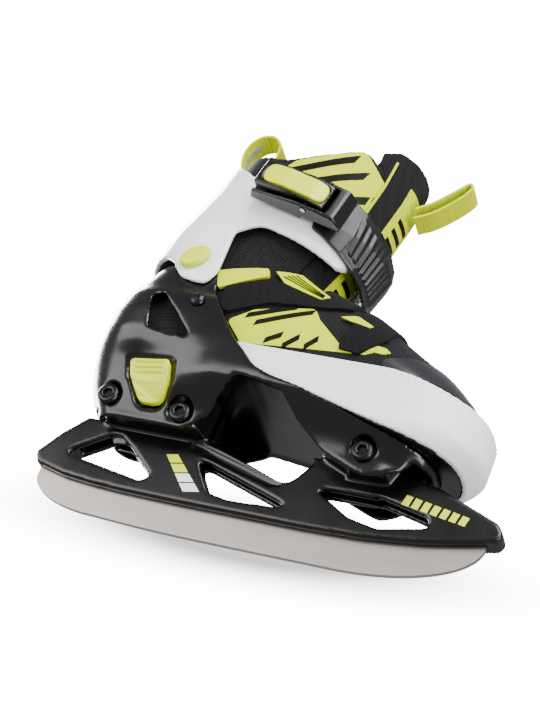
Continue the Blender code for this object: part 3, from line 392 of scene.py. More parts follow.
def woven(name, colour, dark, size=0.7, sheen=0.1, roughness=0.75, direction="Z"):
    """Woven webbing or a coated panel: fine ribs one way and cross threads the other."""
    made, nodes, links, shader, where = start_material(name, colour, roughness)
    shader.inputs["Specular IOR Level"].default_value = 0.12
    shader.inputs["Sheen Weight"].default_value = sheen
    ribs = []
    for bands, scale in ((direction, 1.0), ("X", 0.8)):
        wave = nodes.new("ShaderNodeTexWave")
        wave.bands_direction = bands
        wave.inputs["Scale"].default_value = scale / (size * MM) / 3.2
        links.new(where, wave.inputs["Vector"])
        ribs.append(wave.outputs["Fac"])
    multiply = nodes.new("ShaderNodeMath")
    multiply.operation = "MULTIPLY"
    links.new(ribs[0], multiply.inputs[0])
    links.new(ribs[1], multiply.inputs[1])
    tint = add_ramp(nodes, links, multiply.outputs["Value"], dark, colour, 0.0, 0.45)
    links.new(tint, shader.inputs["Base Color"])
    add_bump(nodes, links, shader, multiply.outputs["Value"], 0.35, 0.25)
    return made


BLACK_MESH = mesh_fabric("black_mesh", (0.011, 0.011, 0.012), (0.0012, 0.0012, 0.0012), sheen=0.04, depth=0.8)
STRAP_FABRIC = mesh_fabric("strap_fabric", (0.006, 0.006, 0.007), (0.001, 0.001, 0.001), size=0.9, sheen=0.02)
LIME_FABRIC = woven("lime_fabric", (0.72, 0.80, 0.0), (0.54, 0.61, 0.0), size=0.8, sheen=0.0)
BLACK_PANEL = woven("black_panel", (0.004, 0.004, 0.004), (0.002, 0.002, 0.002), size=0.8, sheen=0.0,
                    roughness=0.5)
TOE_PATENT = moulded_plastic("toe_patent", (0.012, 0.013, 0.016), 0.22, 0.12, coat=0.3)
GREY_TAPE = woven("grey_tape", (0.42, 0.42, 0.46), (0.30, 0.30, 0.33), size=0.6)


def soft_rubber(name, colour):
    """Foamed white rubber: satin, with shallow creases where the toe bends and a fine pebble."""
    made, nodes, links, shader, where = start_material(name, colour, 0.42)
    shader.inputs["Subsurface Weight"].default_value = 0.0
    pebble = add_noise(nodes, links, where, 700.0, 2.0)
    crease = add_noise(nodes, links, where, 1.0, 2.0, stretch=(34.0, 30.0, 90.0))
    mix = nodes.new("ShaderNodeMath")
    mix.operation = "MULTIPLY_ADD"
    mix.inputs[1].default_value = 9.0
    links.new(crease, mix.inputs[0])
    links.new(pebble, mix.inputs[2])
    add_bump(nodes, links, shader, mix.outputs["Value"], 0.5, 0.12)
    return made


WHITE_RUBBER = soft_rubber("white_rubber", (0.93, 0.94, 0.96))
print("finishes:", len(bpy.data.materials))


def dress(thing, material, body, slot, *replaced):
    """Gives a piece its finish, shows it, parents it to the body it rides on and hides the engineering parts
    it replaces.
    """
    thing.data.materials.clear()
    thing.data.materials.append(material)
    show(thing)
    if replaced:
        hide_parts(*replaced)
    if body:
        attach(thing, body)
    return thing


# %% [markdown]
# ## Rounding an engineering solid
#
# The small plastic parts have the right shape already, but their edges are knife sharp. `softened` copies a
# part's mesh, remeshes it evenly and relaxes it, which is what a mould's radii do to a real part.

# %% Softened copies
def softened(node, name, voxel, passes):
    """A rounded copy of an engineering part. The part itself isn't touched."""
    source = bpy.data.objects[node]
    mesh = source.data.copy()
    mesh.transform(source.matrix_world)
    return mould(bpy.data.objects.new(name, mesh), voxel, passes)


def carry(node, material):
    """Keeps an engineering part as it is and gives it a finish."""
    for place in bpy.data.objects[node].material_slots:
        place.material = material


# %% [markdown]
# ## Blade
#
# The runner is a flat strip of steel, ground along its length. Its bottom edge has a long flat, a slight
# rocker behind it and round ends, so the outline is drawn finely and given its thickness in one step.

# %% Blade
RAIL = [(-145, 26), (-124.5, 21), (-100, 18.8), (-58, 18), (20, 18.2), (59, 19.6), (95, 24.3), (130, 32.5)]
BLADE_HEEL, BLADE_TOE, BLADE_HALF = -142.0, 122.5, 1.5
HEEL_CURVE, ROCKER, TOE_CURVE = -100.0, -30.0, 45.0    # where each curve of the bottom edge starts
HEEL_LIFT, TOE_LIFT, ROCKER_DIAMETER = 20.0, 30.0, 2294.0
INTO_RAIL = 6.5    # how far the steel reaches up into the holder


def rail_z(x):
    return float(np.interp(x, [m[0] for m in RAIL], [m[1] for m in RAIL]))


def glide_z(x):
    if x < HEEL_CURVE:
        rise = HEEL_LIFT - (ROCKER - HEEL_CURVE) ** 2 / ROCKER_DIAMETER
        u = min((HEEL_CURVE - x) / (HEEL_CURVE - BLADE_HEEL), 1.0)
        return HEEL_LIFT - rise * math.sqrt(max(0.0, 1.0 - u * u))
    if x > TOE_CURVE:
        u = min((x - TOE_CURVE) / (BLADE_TOE - TOE_CURVE), 1.0)
        return TOE_LIFT - TOE_LIFT * math.sqrt(max(0.0, 1.0 - u * u))
    return max(0.0, ROCKER - x) ** 2 / ROCKER_DIAMETER


heel_xs = [HEEL_CURVE + (BLADE_HEEL - HEEL_CURVE) * math.sin(math.pi / 2 * i / 24) for i in range(24, 0, -1)]
toe_xs = [TOE_CURVE + (BLADE_TOE - TOE_CURVE) * math.sin(math.pi / 2 * i / 30) for i in range(1, 31)]
edge_xs = heel_xs + list(np.linspace(HEEL_CURVE, TOE_CURVE, 40)) + toe_xs
blade_line = [(x, glide_z(x)) for x in edge_xs]
blade_line += [(x, rail_z(x) + INTO_RAIL) for x in np.linspace(BLADE_TOE, BLADE_HEEL, 30)]
blade = plate("steel_blade", blade_line, -BLADE_HALF, BLADE_HALF)
dress(blade, BLADE_STEEL, "chassis", "blade_steel", "blade")
print("blade faces:", len(blade.data.polygons))

# %% [markdown]
# ## Blade holder
#
# The holder is one nylon moulding: two flat-topped towers on a rail with slanted windows. A moulded
# groove follows its slanted brace.

# %% Holder
holder = softened("blade_holder", "holder", 0.9, 7)
BRACE_GROOVE = [(-57.6, 57.5), (-24.3, 48.4), (2.0, 40.4), (-4.0, 38.4), (-22.0, 42.6), (-56.0, 52.0)]
press(holder, BRACE_GROOVE, 1.3, 1.4, outside_of=4.0)
dress(holder, BLACK_PLASTIC, "chassis", "black_nylon", "blade_holder")

# %% [markdown]
# ## Printed marks
#
# Ink on a real holder is a few microns thick. A thin prism on each face stands for it, a tenth of a
# millimetre proud, which keeps it from flickering against the plastic. The marks are plain blocks and dashes.

# %% Printed marks
HOLDER_FACE = 7.0
INK_PROUD, INK_DEPTH = 0.12, 0.3
BLOCK_FILL = 0.86    # the part of each step that a block fills, the rest is gap


def printed(name, outlines, material, slot):
    """Thin ink on both faces of the holder's plate."""
    faces, points = [], []
    for outline in outlines:
        for side in (-1, 1):
            first = len(points)
            points += [(x, side * (HOLDER_FACE + INK_PROUD), z) for x, z in outline]
            points += [(x, side * (HOLDER_FACE - INK_DEPTH), z) for x, z in outline]
            n = len(outline)
            faces.append(tuple(range(first, first + n)))
            faces.append(tuple(range(first + n, first + 2 * n))[::-1])
            for i in range(n):
                j = (i + 1) % n
                faces.append((first + i, first + j, first + n + j, first + n + i))
    ink = from_points(name, points, faces)
    tidy_mesh(ink.data)
    return dress(ink, material, "chassis", slot)


def slanted(x, z, width, height, lean):
    """A slanted bar whose top edge drops forward, as the rail does."""
    drop = 0.2 * width
    return [(x, z), (x + width, z - drop), (x + width + lean, z - drop - height), (x + lean, z - height)]


def block(k):
    """One of four slanted blocks in a column that narrows from the tower down to the window."""
    low, high = (k + BLOCK_FILL) / 4, k / 4
    left = [(-69.3 + 18.8 * t, 45.4 - 21.6 * t) for t in (high, low)]
    right = [(-62.7 + 21.7 * t, 46.8 - 21.3 * t) for t in (high, low)]
    return [left[0], right[0], right[1], left[1]]


lime_marks = [block(0), block(1)]
white_marks = [block(2), block(3)]
printed("lime_marks", lime_marks, LIME_PLASTIC, "lime_plastic")
printed("white_marks", white_marks, WHITE_PLASTIC, "white_plastic")
dashes = [slanted(73.0 + 5.6 * k, 49.2 - 1.0 * k, 3.9, 6.2 - 0.12 * k, -1.4) for k in range(7)]
printed("toe_dashes", dashes, LIME_PLASTIC, "lime_plastic")

# %% [markdown]
# ## Hard shell
#
# The heel shell is a moulded cup with a skirt that bolts to the holder and two arms that rise to the ankle
# pivots. A stack of level outlines gives the cup, a side view crops it, and an inner stack hollows it.

# %% Shell outline
SOLE_HEEL, SOLE_DROP, SLOPE_FROM, SLOPE_RUN = 89.0, 23.0, -40.0, 135.0


def sole_z(x):
    """The top of the sole, which drops smoothly from heel to toe."""
    t = min(max((x - SLOPE_FROM) / SLOPE_RUN, 0.0), 1.0)
    return SOLE_HEEL - SOLE_DROP * t * t * (3 - 2 * t)


def sole_run(first, last, rise=0.0, count=28):
    return [(x, sole_z(x) + rise) for x in np.linspace(first, last, count)]


SHELL_ROWS = [
    (46, -112, 80, 25.4, 25.4, 14), (58, -117.8, 82, 25.9, 25.9, 17), (66, -123, 85, 27.3, 29.5, 22),
    (74, -127.5, 87, 29.4, 38, 28), (82, -130.4, 87.5, 31.4, 44.4, 33), (89, -132, 88, 34.4, 45.2, 36),
    (97, -132.2, 88, 39.8, 45.2, 37), (104, -132, 88, 42.4, 45.2, 37), (118, -130.8, 88, 43.4, 44.8, 37),
    (129, -127.8, 88, 43.2, 43.8, 36), (135, -125.5, 88, 41, 41, 36), (141, -122, 88, 41, 41, 36),
    (151, -116.4, 88, 41, 41, 36), (162, -115.8, 88, 41, 41, 36), (176, -112.8, 88, 41, 41, 36)]


def shell_solid(name, inset):
    rings = [level_ring(z, b + inset, f - inset, h - inset, hf - inset, hr - inset * 0.6, 34.0 - inset * 0.6)
             for z, b, f, h, hf, hr in soften_rows(SHELL_ROWS, 1.5, 3.0)]
    return skin(name, rings)


SHELL_WALL, SOLE_THICKNESS, BOLT_SEAT, SEAT_RADIUS = 2.8, 4.0, 25.6, 8.0
UNDER = -5.2    # how far the skirt's front edge runs below the sole's top
shell_line = round_corners(
    [(-150, 61), (-114.2, 61), (-112.6, 53.4), (-58, 53.8, 8), (-46, 63.5, 6), (-39, 74, 8),
     *sole_run(-32, -4, UNDER, 8), (6, 69.5, 6), (24, 56, 16), (52, 45.5, 16), (69, 54, 8),
     *sole_run(74, 96, UNDER, 6), *sole_run(96, -10), (-15, sole_z(-15) + 0.6), (-23, 90, 20), (-43, 108, 8),
     (-64, 135, 12), (-68, 150, 12), (-70.5, 165, 12), (-90, 165, 12), (-93, 154, 6), (-97, 151, 4),
     (-150, 151)])

# %% Shell
shell = combine(shell_solid("shell", 0.0), plate("view", shell_line, -WIDE, WIDE), "INTERSECT")
sole_line = sole_run(-150, 110) + sole_run(110, -150, -SOLE_THICKNESS)
core = combine(shell_solid("core", SHELL_WALL), plate("slab", sole_line, -WIDE, WIDE))
combine(shell, core)
button_corners = [(-100.8, 86.6, 3), (-73.8, 86.6, 3), (-71.9, 77, 5), (-74.5, 63, 7), (-87.5, 63, 7),
                  (-97.3, 77, 4)]
button_line = round_corners(button_corners)
centre = np.mean(button_line, axis=0)
OPENING_SCALE, THUMB_DISH_SCALE = 1.045, 1.22
opening = [tuple(centre + (np.array(p) - centre) * OPENING_SCALE) for p in button_line]
window = round_corners([(-100, 126, 2), (-93, 128.5, 3), (-66.5, 101, 2.5), (-94.5, 104.5, 2.5)])
combine(shell, plate("window", window, -WIDE, WIDE))
combine(shell, plate("opening", opening, -48, -20))
BOLTS = {"rear": (-107.8, 65.4), "arch": (-62.2, 62.5), "front": (47.7, 59.7)}
for x, z in BOLTS.values():
    for low, high in ((-WIDE, -BOLT_SEAT), (BOLT_SEAT, WIDE)):
        combine(shell, plate("seat", disc(x, z, SEAT_RADIUS), low, high))
mould(shell, 1.0, 7)
thumb_dish = [tuple(centre + (np.array(p) - centre) * THUMB_DISH_SCALE) for p in button_line]
press(shell, thumb_dish, 0.9, 1.6, outside_of=20.0, side=-1)
dress(shell, BLACK_PLASTIC, "chassis", "black_nylon", "base_shell")
print("shell faces:", len(shell.data.polygons))

# %% [markdown]
# ## Bolts and rivets
#
# Button-head screws with a hexagonal socket. The socket is a real recess, since it catches a bright edge.

# %% Screws
def socket_screw(name, x, z, side, seat, radius, height, socket):
    rings = []
    for size, rise, corners in (
            (radius, 0, 0), (radius, height * 0.45, 0), (radius * 0.93, height * 0.8, 0),
            (radius * 0.78, height, 0), (socket * 1.15, height, 1), (socket, height - 0.3, 1),
            (socket, height - 2.0, 1)):
        ring = []
        for k in range(36):
            t = 2 * math.pi * k / 36
            reach = size
            if corners:
                sixth = math.pi / 3
                reach = size * math.cos(sixth / 2) / math.cos((t % sixth) - sixth / 2)
            ring.append((x + reach * math.cos(t), side * (seat + rise), z + reach * math.sin(t)))
        rings.append(ring)
    return skin(name, rings)


SCREW_SEAT, SCREW_RADIUS, SCREW_HEIGHT = 25.9, 6.5, 3.2
SCREW_SOCKET, NUT_SOCKET = 3.0, 2.6
for place, (x, z) in BOLTS.items():
    screw = socket_screw("screw_" + place, x, z, -1, SCREW_SEAT, SCREW_RADIUS, SCREW_HEIGHT, SCREW_SOCKET)
    dress(screw, DARK_STEEL, "chassis", "dark_steel", "frame_bolt_" + place)
    nut = socket_screw("nut_" + place, x, z, 1, SCREW_SEAT, SCREW_RADIUS, SCREW_HEIGHT, NUT_SOCKET)
    dress(nut, DARK_STEEL, "chassis", "dark_steel", "frame_nut_" + place)
for node in ("arm_rivet_lateral", "arm_rivet_medial", "pivot_bolt_lateral", "pivot_bolt_medial"):
    carry(node, DARK_STEEL)
carry("button_spring", PIN_STEEL)
carry("lever_pin", PIN_STEEL)
carry("toe_carriage", BLACK_PLASTIC)

# %% [markdown]
# ## Size button
#
# A thumb pushes this button to free the toe. Three scallops in its upper half give grip.

# %% Button
button = softened("size_button", "size_push_button", 0.55, 5)
SCALLOP_Z, SCALLOP_PITCH, SCALLOP_HEIGHT = 77.5, 2.9, 1.3
for k in range(3):
    low = SCALLOP_Z + SCALLOP_PITCH * k
    high = low + SCALLOP_HEIGHT
    press(button, [(-95.5, low), (-77, low), (-77, high), (-95.5, high)], 0.8, 0.7, 30.0)
dress(button, LIME_PLASTIC, "button", "lime_plastic", "size_button")

# %% [markdown]
# ## Cuff and pivot caps
#
# The white cuff wraps the ankle from behind, with a lobe on each side down to its pivot and a wing that runs
# forward under the buckle strap.

# %% Cuff
PIVOT = (-83.0, 153.5)
CUFF_ROWS = [(-20, -123, -8, 41.6), (-6, -118.5, -7, 41.6), (8, -116, -4, 41.6), (23, -113, 0, 41.6),
             (40, -106.5, 6, 41), (58, -100, 9.5, 40), (84, -94.5, 14, 38.6)]


def leg_solid(name, rows, grow, heel_round, toe_round):
    rings = [level_ring(PIVOT[1] + h, back - grow, front + grow, half + grow, half + grow, heel_round + grow,
                        toe_round + grow) for h, back, front, half in soften_rows(rows, 2.0, 8.0)]
    return skin(name, rings)


def up(height):
    return PIVOT[1] + height


cuff_line = round_corners(
    [(-96, 150, 8), (-88, 140, 10), (-72, 137.5, 8), (-67, 147, 5), (-67, 176, 5), (-54, up(30), 14),
     (-26, up(23.5), 14), (-6, up(18.5), 7), (-1, up(27), 6), (-10, up(47), 14), (-40, up(60), 14),
     (-70, up(64), 12), (-95, up(82), 8), (-130, up(82)), (-130, 155), (-104, 155, 6)])
CUFF_WALL, CUFF_ROUNDS, PIVOT_BORE = 3.0, (36, 56), 3.9
cuff = combine(leg_solid("ankle_cuff", CUFF_ROWS, CUFF_WALL, *CUFF_ROUNDS),
               leg_solid("hollow", CUFF_ROWS, 0.0, *CUFF_ROUNDS))
combine(cuff, plate("view", cuff_line, -WIDE, WIDE), "INTERSECT")
combine(cuff, plate("bore", disc(*PIVOT, PIVOT_BORE), -WIDE, WIDE))
mould(cuff, 1.0, 6)
dress(cuff, WHITE_PLASTIC, "cuff", "white_plastic", "cuff")
for side in ("lateral", "medial"):
    cap = softened("pivot_cap_" + side, "cap_" + side, 0.45, 6)
    dress(cap, LIME_PLASTIC, "chassis", "lime_plastic", "pivot_cap_" + side)

# %% [markdown]
# ## Soft boot
#
# The boot is one padded mesh body. It runs unbroken over the place where the sliding toe meets the heel, so
# no gap shows there.

# %% Boot stations
BOOT_ROWS = [
    (-124, 18, 166), (-119, 26, 186), (-107, 33, 196), (-88, 37, 200), (-60, 38, 195), (-35, 38, 178),
    (-15, 38, 166), (5, 38, 158.5), (28, 38, 150), (45, 37.6, 140), (62, 36.5, 130), (78, 33.5, 121),
    (89, 28.5, 112.5), (97, 22, 104), (101.5, 14.5, 97), (104, 7, 91)]
ROUND_TOP, SQUARE_SOLE, WIDEST_AT = 2.4, 5.0, 0.42
TOE_SPRING, SPRING_FROM, SPRING_RUN = 14.0, 86.0, 18.0
OVER_SOLE, LEAST_HEIGHT = 4.2, 3.0


def cross_ring(x, half, low, high, steps=96):
    t = 2 * np.pi * np.arange(steps) / steps
    c, s = np.cos(t), np.sin(t)
    power = np.where(s > 0, ROUND_TOP, SQUARE_SOLE)
    middle = low + (high - low) * WIDEST_AT
    reach = np.where(s > 0, high - middle, middle - low)
    return np.column_stack([np.full(steps, x), half * np.sign(c) * np.abs(c) ** (2 / power),
                            middle + reach * np.sign(s) * np.abs(s) ** (2 / power)])


def boot_solid(name, grow):
    rings = []
    for x, half, high in soften_rows(BOOT_ROWS, 2.0, 5.0):
        end = -1.0 if x < -100 else (1.0 if x > 90 else 0.0)
        lift = TOE_SPRING * min(max((x - SPRING_FROM) / SPRING_RUN, 0.0), 1.0) ** 2
        floor = min(sole_z(x) + OVER_SOLE + lift - grow, high + grow - LEAST_HEIGHT)
        rings.append(cross_ring(x + end * grow, max(half + grow, 2.0), floor, high + grow))
    return skin(name, rings)


def stretch(thing, material, slot, *replaced):
    """Dresses a fabric piece that spans the heel and the sliding toe."""
    dress(thing, material, None, slot, *replaced)
    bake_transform(thing)
    return thing


# %% Boot skin
PADDING, GAP_IN_SHELL = 3.6, 3.4
boot = combine(boot_solid("boot", 0.0), boot_solid("room", -PADDING))
leg_hole = [(-160, 151), (-84, 152), (-40, 160), (-14, 170), (-6, 200), (-160, 220)]
combine(boot, plate("leg", leg_hole, -WIDE, WIDE))
in_shell = shell_solid("limit", GAP_IN_SHELL)
front_box = plate("front", [(-60, 60), (130, 60), (130, 220), (-60, 220)], -WIDE, WIDE)
combine(in_shell, front_box, "UNION")
combine(boot, in_shell, "INTERSECT")
mould(boot, 1.3, 5)
stretch(boot, BLACK_MESH, "black_mesh", "heel_upper", "toe_upper")
print("boot faces:", len(boot.data.polygons))

# %% [markdown]
# ## Sewn overlays
#
# The bright panels, the strap and the toe patch are thin pieces laid on the mesh. Each is a slightly grown
# copy of the boot cut to its outline, so it follows the curve exactly.

# %% Overlays
def overlay(name, outline, lift, thick, material, slot, *replaced):
    piece = combine(boot_solid(name, lift + thick), boot_solid("under", lift - 0.6))
    combine(piece, plate("view", round_corners(outline), -WIDE, WIDE), "INTERSECT")
    return stretch(piece, material, slot, *replaced)


overlay("lime_panel", [(-52, 120, 3), (-38.7, 129.6, 6), (-5, 137.8, 4), (0.6, 130.2, 4), (17.3, 116.3, 6),
                       (40.5, 117.4, 3), (33.3, 112.6, 3), (-39.4, 106.9, 3)],
        0.1, 0.5, LIME_FABRIC, "lime_webbing")


def band_corners(a, b, width, slant):
    """The corners of a straight band whose ends are cut at a slant."""
    along = Vector(b) - Vector(a)
    off = Vector((-along.y, along.x)).normalized() * width / 2
    lean = along.normalized() * width * slant
    corners = [Vector(a) - off, Vector(b) - off - lean, Vector(b) + off, Vector(a) + off + lean]
    return [tuple(p) for p in corners]


STRIPES = [((-43, 124.5), (-13.5, 136.5)), ((-36.5, 120.6), (-3.5, 135.4)), ((-15.6, 108), (-6, 117.5)),
           ((-3, 109.6), (5, 118.5)), ((-27, 110), (-16, 117))]
for k, (a, b) in enumerate(STRIPES):
    overlay("stripe_%d" % k, band_corners(a, b, 3.0, 0.8), 0.3, 0.7, BLACK_PANEL, "black_webbing")
overlay("toe_patch", [(43.5, 112, 3), (59.9, 119.3, 4), (74, 122), (90, 116), (99.5, 101.4, 3),
                      (66.7, 106.2, 6), (46, 104, 3)],
        0.1, 0.5, TOE_PATENT, "black_webbing")
overlay("instep_band", [(-60, 127, 3), (-54, 124.5, 3), (-31.7, 134.5, 8), (2, 139, 8), (14.3, 144),
                        (14.3, 175), (-3, 175), (-8, 147.5, 6), (-36, 152, 4), (-60, 141, 3)],
        0.9, 1.8, STRAP_FABRIC, "black_webbing", "instep_strap")
overlay("forefoot_band", [(18, 113), (30, 111.5), (42, 125, 6), (44, 160), (22, 160), (20, 128, 6),
                          (17, 119)],
        0.7, 1.6, STRAP_FABRIC, "black_webbing", "forefoot_strap")
overlay("ankle_lime", [(-69, 150.6, 2), (-41.1, 159.4, 2), (-38.6, 153.2, 2), (-64.7, 138.5, 2)],
        1.2, 1.8, LIME_FABRIC, "lime_webbing")
overlay("toe_dot", [(31.7, 118), (35, 120.6, 3), (43, 120, 3), (46.5, 117.6), (43, 115.3, 3), (35, 115.6, 3)],
        0.1, 0.7, LIME_FABRIC, "lime_webbing")
overlay("forefoot_lime", [(11.8, 134.5), (20, 138.5, 4), (31, 133), (29.8, 131), (18, 133, 4)],
        2.2, 0.6, LIME_FABRIC, "lime_webbing")
overlay("fan", [(-36.4, 158.4), (-22.9, 163), (-0.4, 148.7), (-4.2, 144.5, 2), (-28, 150.5, 6)],
        2.3, 1.0, LIME_FABRIC, "lime_webbing")
for k in range(4):
    x, z, end_z = -31 + 1.9 * k, 155.2 + 1.9 * k * 0.75, 145.6 + 1.9 * k * 0.45
    pleat = [(x, z), (-3.6, end_z), (-3.2, 146.1 + 1.9 * k * 0.45), (x, 156.1 + 1.9 * k * 0.75)]
    overlay("pleat_%d" % k, pleat, 2.5, 1.1, BLACK_PANEL, "black_webbing")

# %% [markdown]
# ## Rubber rand
#
# The white rand is a foam rubber wall around the toe, with a line of stitches along its top.

# %% Rand
def ease(t):
    t = min(max(t, 0.0), 1.0)
    return t * t * (3 - 2 * t)


RAND_HALF, RAND_TOE, TOE_ROUND, RAND_WALL = 41.2, 108.0, 46.0, 2.6


def top_lean(z):
    """How far the wall has leaned in from its front at a height."""
    return 5.0 * ease((z - 92.0) / 20.0)


def rand_ring(z, inset, back=-95.0):
    foot = 20.0 * ease((78.0 - z) / 25.0)
    half = RAND_HALF - 0.3 * foot - inset
    front = RAND_TOE - foot - top_lean(z) - inset
    return level_ring(z, back, front, half, half, 20.0, TOE_ROUND - inset / 3, taper=0.32)


def rand_top(x):
    return 106.0 - 9.0 * ease((x - 45.0) / 60.0)


rand = skin("rand", [rand_ring(z, 0.0) for z in np.arange(54.0, 113.0, 1.5)])
combine(rand, skin("room", [rand_ring(z, RAND_WALL, back=-120.0) for z in np.arange(50.0, 117.0, 1.5)]))
rand_line = sole_run(-46, 120, 0.35) + [(x, rand_top(x)) for x in np.linspace(120, -46, 40)]
combine(rand, plate("view", rand_line, -WIDE, WIDE), "INTERSECT")
mould(rand, 0.9, 4)
dress(rand, WHITE_RUBBER, "toe", "white_rubber", "toe_rand")


def stitches(name, path, outward, length, radius, material, body):
    """Short rounded thread bumps along a path of points."""
    points, faces = [], []
    for here, ahead, out in zip(path[:-1], path[1:], outward):
        run = (ahead - here) / max(np.linalg.norm(ahead - here), 1e-6)
        across = np.cross(run, out)
        first = len(points)
        for t, size in ((-0.5, 0.35), (-0.2, 1.0), (0.2, 1.0), (0.5, 0.35)):
            for k in range(6):
                a = math.pi / 3 * k
                reach = (out * math.cos(a) + across * math.sin(a)) * radius * size
                points.append(here + run * length * t + reach)
        for r in range(3):
            for k in range(6):
                a, b = first + 6 * r + k, first + 6 * r + (k + 1) % 6
                faces.append((a, b, b + 6, a + 6))
        faces.append(tuple(range(first, first + 6))[::-1])
        faces.append(tuple(range(first + 18, first + 24)))
    made = from_points(name, points, faces)
    tidy_mesh(made.data)
    return dress(made, material, body, "white_rubber")


SEAM_PITCH, SEAM_DROP = 3.2, 2.6    # spacing of the stitches, and their distance below the top edge
SEAM_LEVEL, TOE_CENTRE = 103.0, RAND_TOE - TOE_ROUND
ring = rand_ring(SEAM_LEVEL, 0.0)
seam = [p for p in ring if p[0] > -44.0]
order = sorted(seam, key=lambda p: math.atan2(p[1], p[0] - 30.0))
dense = []
for a, b in zip(order[:-1], order[1:]):
    count = max(int(np.linalg.norm(b - a) / SEAM_PITCH), 1)
    dense += [a + (b - a) * i / count for i in range(count)]
thread = []
for p in dense:
    z = rand_top(p[0]) - SEAM_DROP
    lean = top_lean(z) - top_lean(SEAM_LEVEL)
    thread.append(np.array([p[0] - (lean if p[0] > TOE_CENTRE else 0.0), p[1], z]))
outs = [np.array([max(p[0] - TOE_CENTRE, 0.0) / TOE_ROUND, p[1] / 41.0, 0.0]) for p in thread]
outs = [o / max(np.linalg.norm(o), 1e-6) for o in outs]
stitches("rand_stitches", thread, outs, 2.2, 0.45, WHITE_RUBBER, "toe")

# %% [markdown]
# ## Collar and tongue
#
# The tongue leans with the cuff. The padded collar stays with the boot.

# %% Collar
LEG_ROWS = [(-25, -121, -8, 36.4), (-4, -112, -12, 37), (7, -109.5, -15.5, 37), (23, -108, -9, 37),
            (52, -99.5, 5, 37), (82, -92, 12.5, 36.4), (103, -87, 15.5, 35.8), (118, -84, 17, 35.4)]
HEEL_ROUND, SHIN_ROUND = 34, 52


def from_pivot(degrees, reach):
    a = math.radians(degrees)
    return (PIVOT[0] + reach * math.cos(a), PIVOT[1] + reach * math.sin(a))


def leg_piece(name, grow, inner, outline, low=-WIDE, high=WIDE):
    piece = combine(leg_solid(name, LEG_ROWS, grow, HEEL_ROUND, SHIN_ROUND),
                    leg_solid("inside", LEG_ROWS, inner, HEEL_ROUND, SHIN_ROUND))
    return combine(piece, plate("view", outline, low, high), "INTERSECT")


collar_line = round_corners(
    [from_pivot(6, 110), (25, up(60)), (12, up(80), 10), (-14, up(101), 10), (-60, up(84), 20),
     (-100, up(92), 8), (-130, up(92)), (-130, 152), (PIVOT[0], 150)])
THROAT_HALF = 26.5    # half width of the gap that the tongue fills
throat = [(-55, 100), (60, 100), (60, 320), (-55, 320)]
collar = leg_piece("collar", 0.0, -5.0, collar_line)
combine(collar, plate("throat", throat, -THROAT_HALF, THROAT_HALF))
mould(collar, 1.2, 5)
dress(collar, BLACK_MESH, None, "black_mesh", "ankle_liner")
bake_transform(collar)


def collar_overlay(name, outline, lift, material, slot):
    for side, (low, high) in (("outer", (-WIDE, -THROAT_HALF)), ("inner", (THROAT_HALF, WIDE))):
        patch = leg_piece(name + "_" + side, lift, lift - 1.0, round_corners(outline), low, high)
        dress(patch, material, "cuff", slot)


collar_overlay("collar_lime", [(-66, 220, 4), (-52, 238, 6), (-14, 253, 8), (2, 236, 6), (6, 205, 6),
                               (-4, 199, 5)], 0.45, LIME_FABRIC, "lime_webbing")
COLLAR_STRIPES = [((-60, 226.5), (-15, 247)), ((-42, 222), (-6.8, 237.5)), ((-24, 212), (-0.5, 224.0))]
for k, (a, b) in enumerate(COLLAR_STRIPES):
    collar_overlay("collar_stripe_%d" % k, band_corners(a, b, 4.5, 1.0), 0.8, BLACK_PANEL, "black_webbing")

# %% [markdown]
# ## Tongue
#
# The tongue is a padded tab in front of the shin with a bright band sewn down its middle. It comes from the
# same stack of outlines as the collar, so the two meet edge to edge. Dashes stand for printing on the band.

# %% Tongue
tongue_line = round_corners([from_pivot(7, 110), (40, up(107)), (5, up(109), 10), (-30, up(104), 6),
                             (-50, up(85)), (-50, up(20)), from_pivot(7, 40)])
tongue = leg_piece("padded_tongue", 0.0, -6.0, tongue_line, -26, 26)
mould(tongue, 1.2, 7)
dress(tongue, BLACK_MESH, "cuff", "black_mesh", "tongue")


def front_only(piece):
    """Drops the part of a ring behind the leg."""
    box = [(-45, 150), (60, 150), (60, 260), (-45, 260)]
    return combine(piece, plate("front", box, -30, 30), "INTERSECT")


band_line = [(-30, 163), (30, 163), (40, 246), (-20, 246)]
band = leg_piece("tongue_band", 0.5, -1.0, band_line, -13, 13)
front_only(band)
dress(band, LIME_FABRIC, "cuff", "lime_webbing")
for k in range(9):
    low = 171.0 + 7.2 * k
    line = [(-30, low), (60, low - 9), (60, low - 6), (-30, low + 3)]
    dash = leg_piece("tongue_dash_%d" % k, 0.85, -0.5, line, -8, 8)
    front_only(dash)
    dress(dash, BLACK_PANEL, "cuff", "black_webbing")

# %% [markdown]
# ## Piping
#
# Piping is a thin cord sewn into a fabric's edge. A curve with a round bevel makes one. Its points come from
# the same table as the padding, so that it lies on the surface.

# %% Piping
def piping(name, path, radius=1.0):
    """A sewn tube of lime fabric along an edge."""
    curve = bpy.data.curves.new(name, "CURVE")
    curve.dimensions = "3D"
    curve.bevel_depth = radius * MM
    curve.bevel_resolution = 4
    curve.use_fill_caps = True
    spline = curve.splines.new("POLY")
    spline.points.add(len(path) - 1)
    for point, spot in zip(spline.points, path):
        point.co = (*(c * MM for c in spot), 1.0)
    drawn = bpy.data.objects.new(name, curve)
    bpy.context.scene.collection.objects.link(drawn)
    bpy.context.view_layer.update()
    mesh = bpy.data.meshes.new_from_object(drawn.evaluated_get(bpy.context.evaluated_depsgraph_get()))
    bpy.data.objects.remove(drawn, do_unlink=True)
    dress(bpy.data.objects.new(name, mesh), LIME_FABRIC, "cuff", "lime_webbing")


LEG_TABLE = soften_rows(LEG_ROWS, 2.0, 8.0)


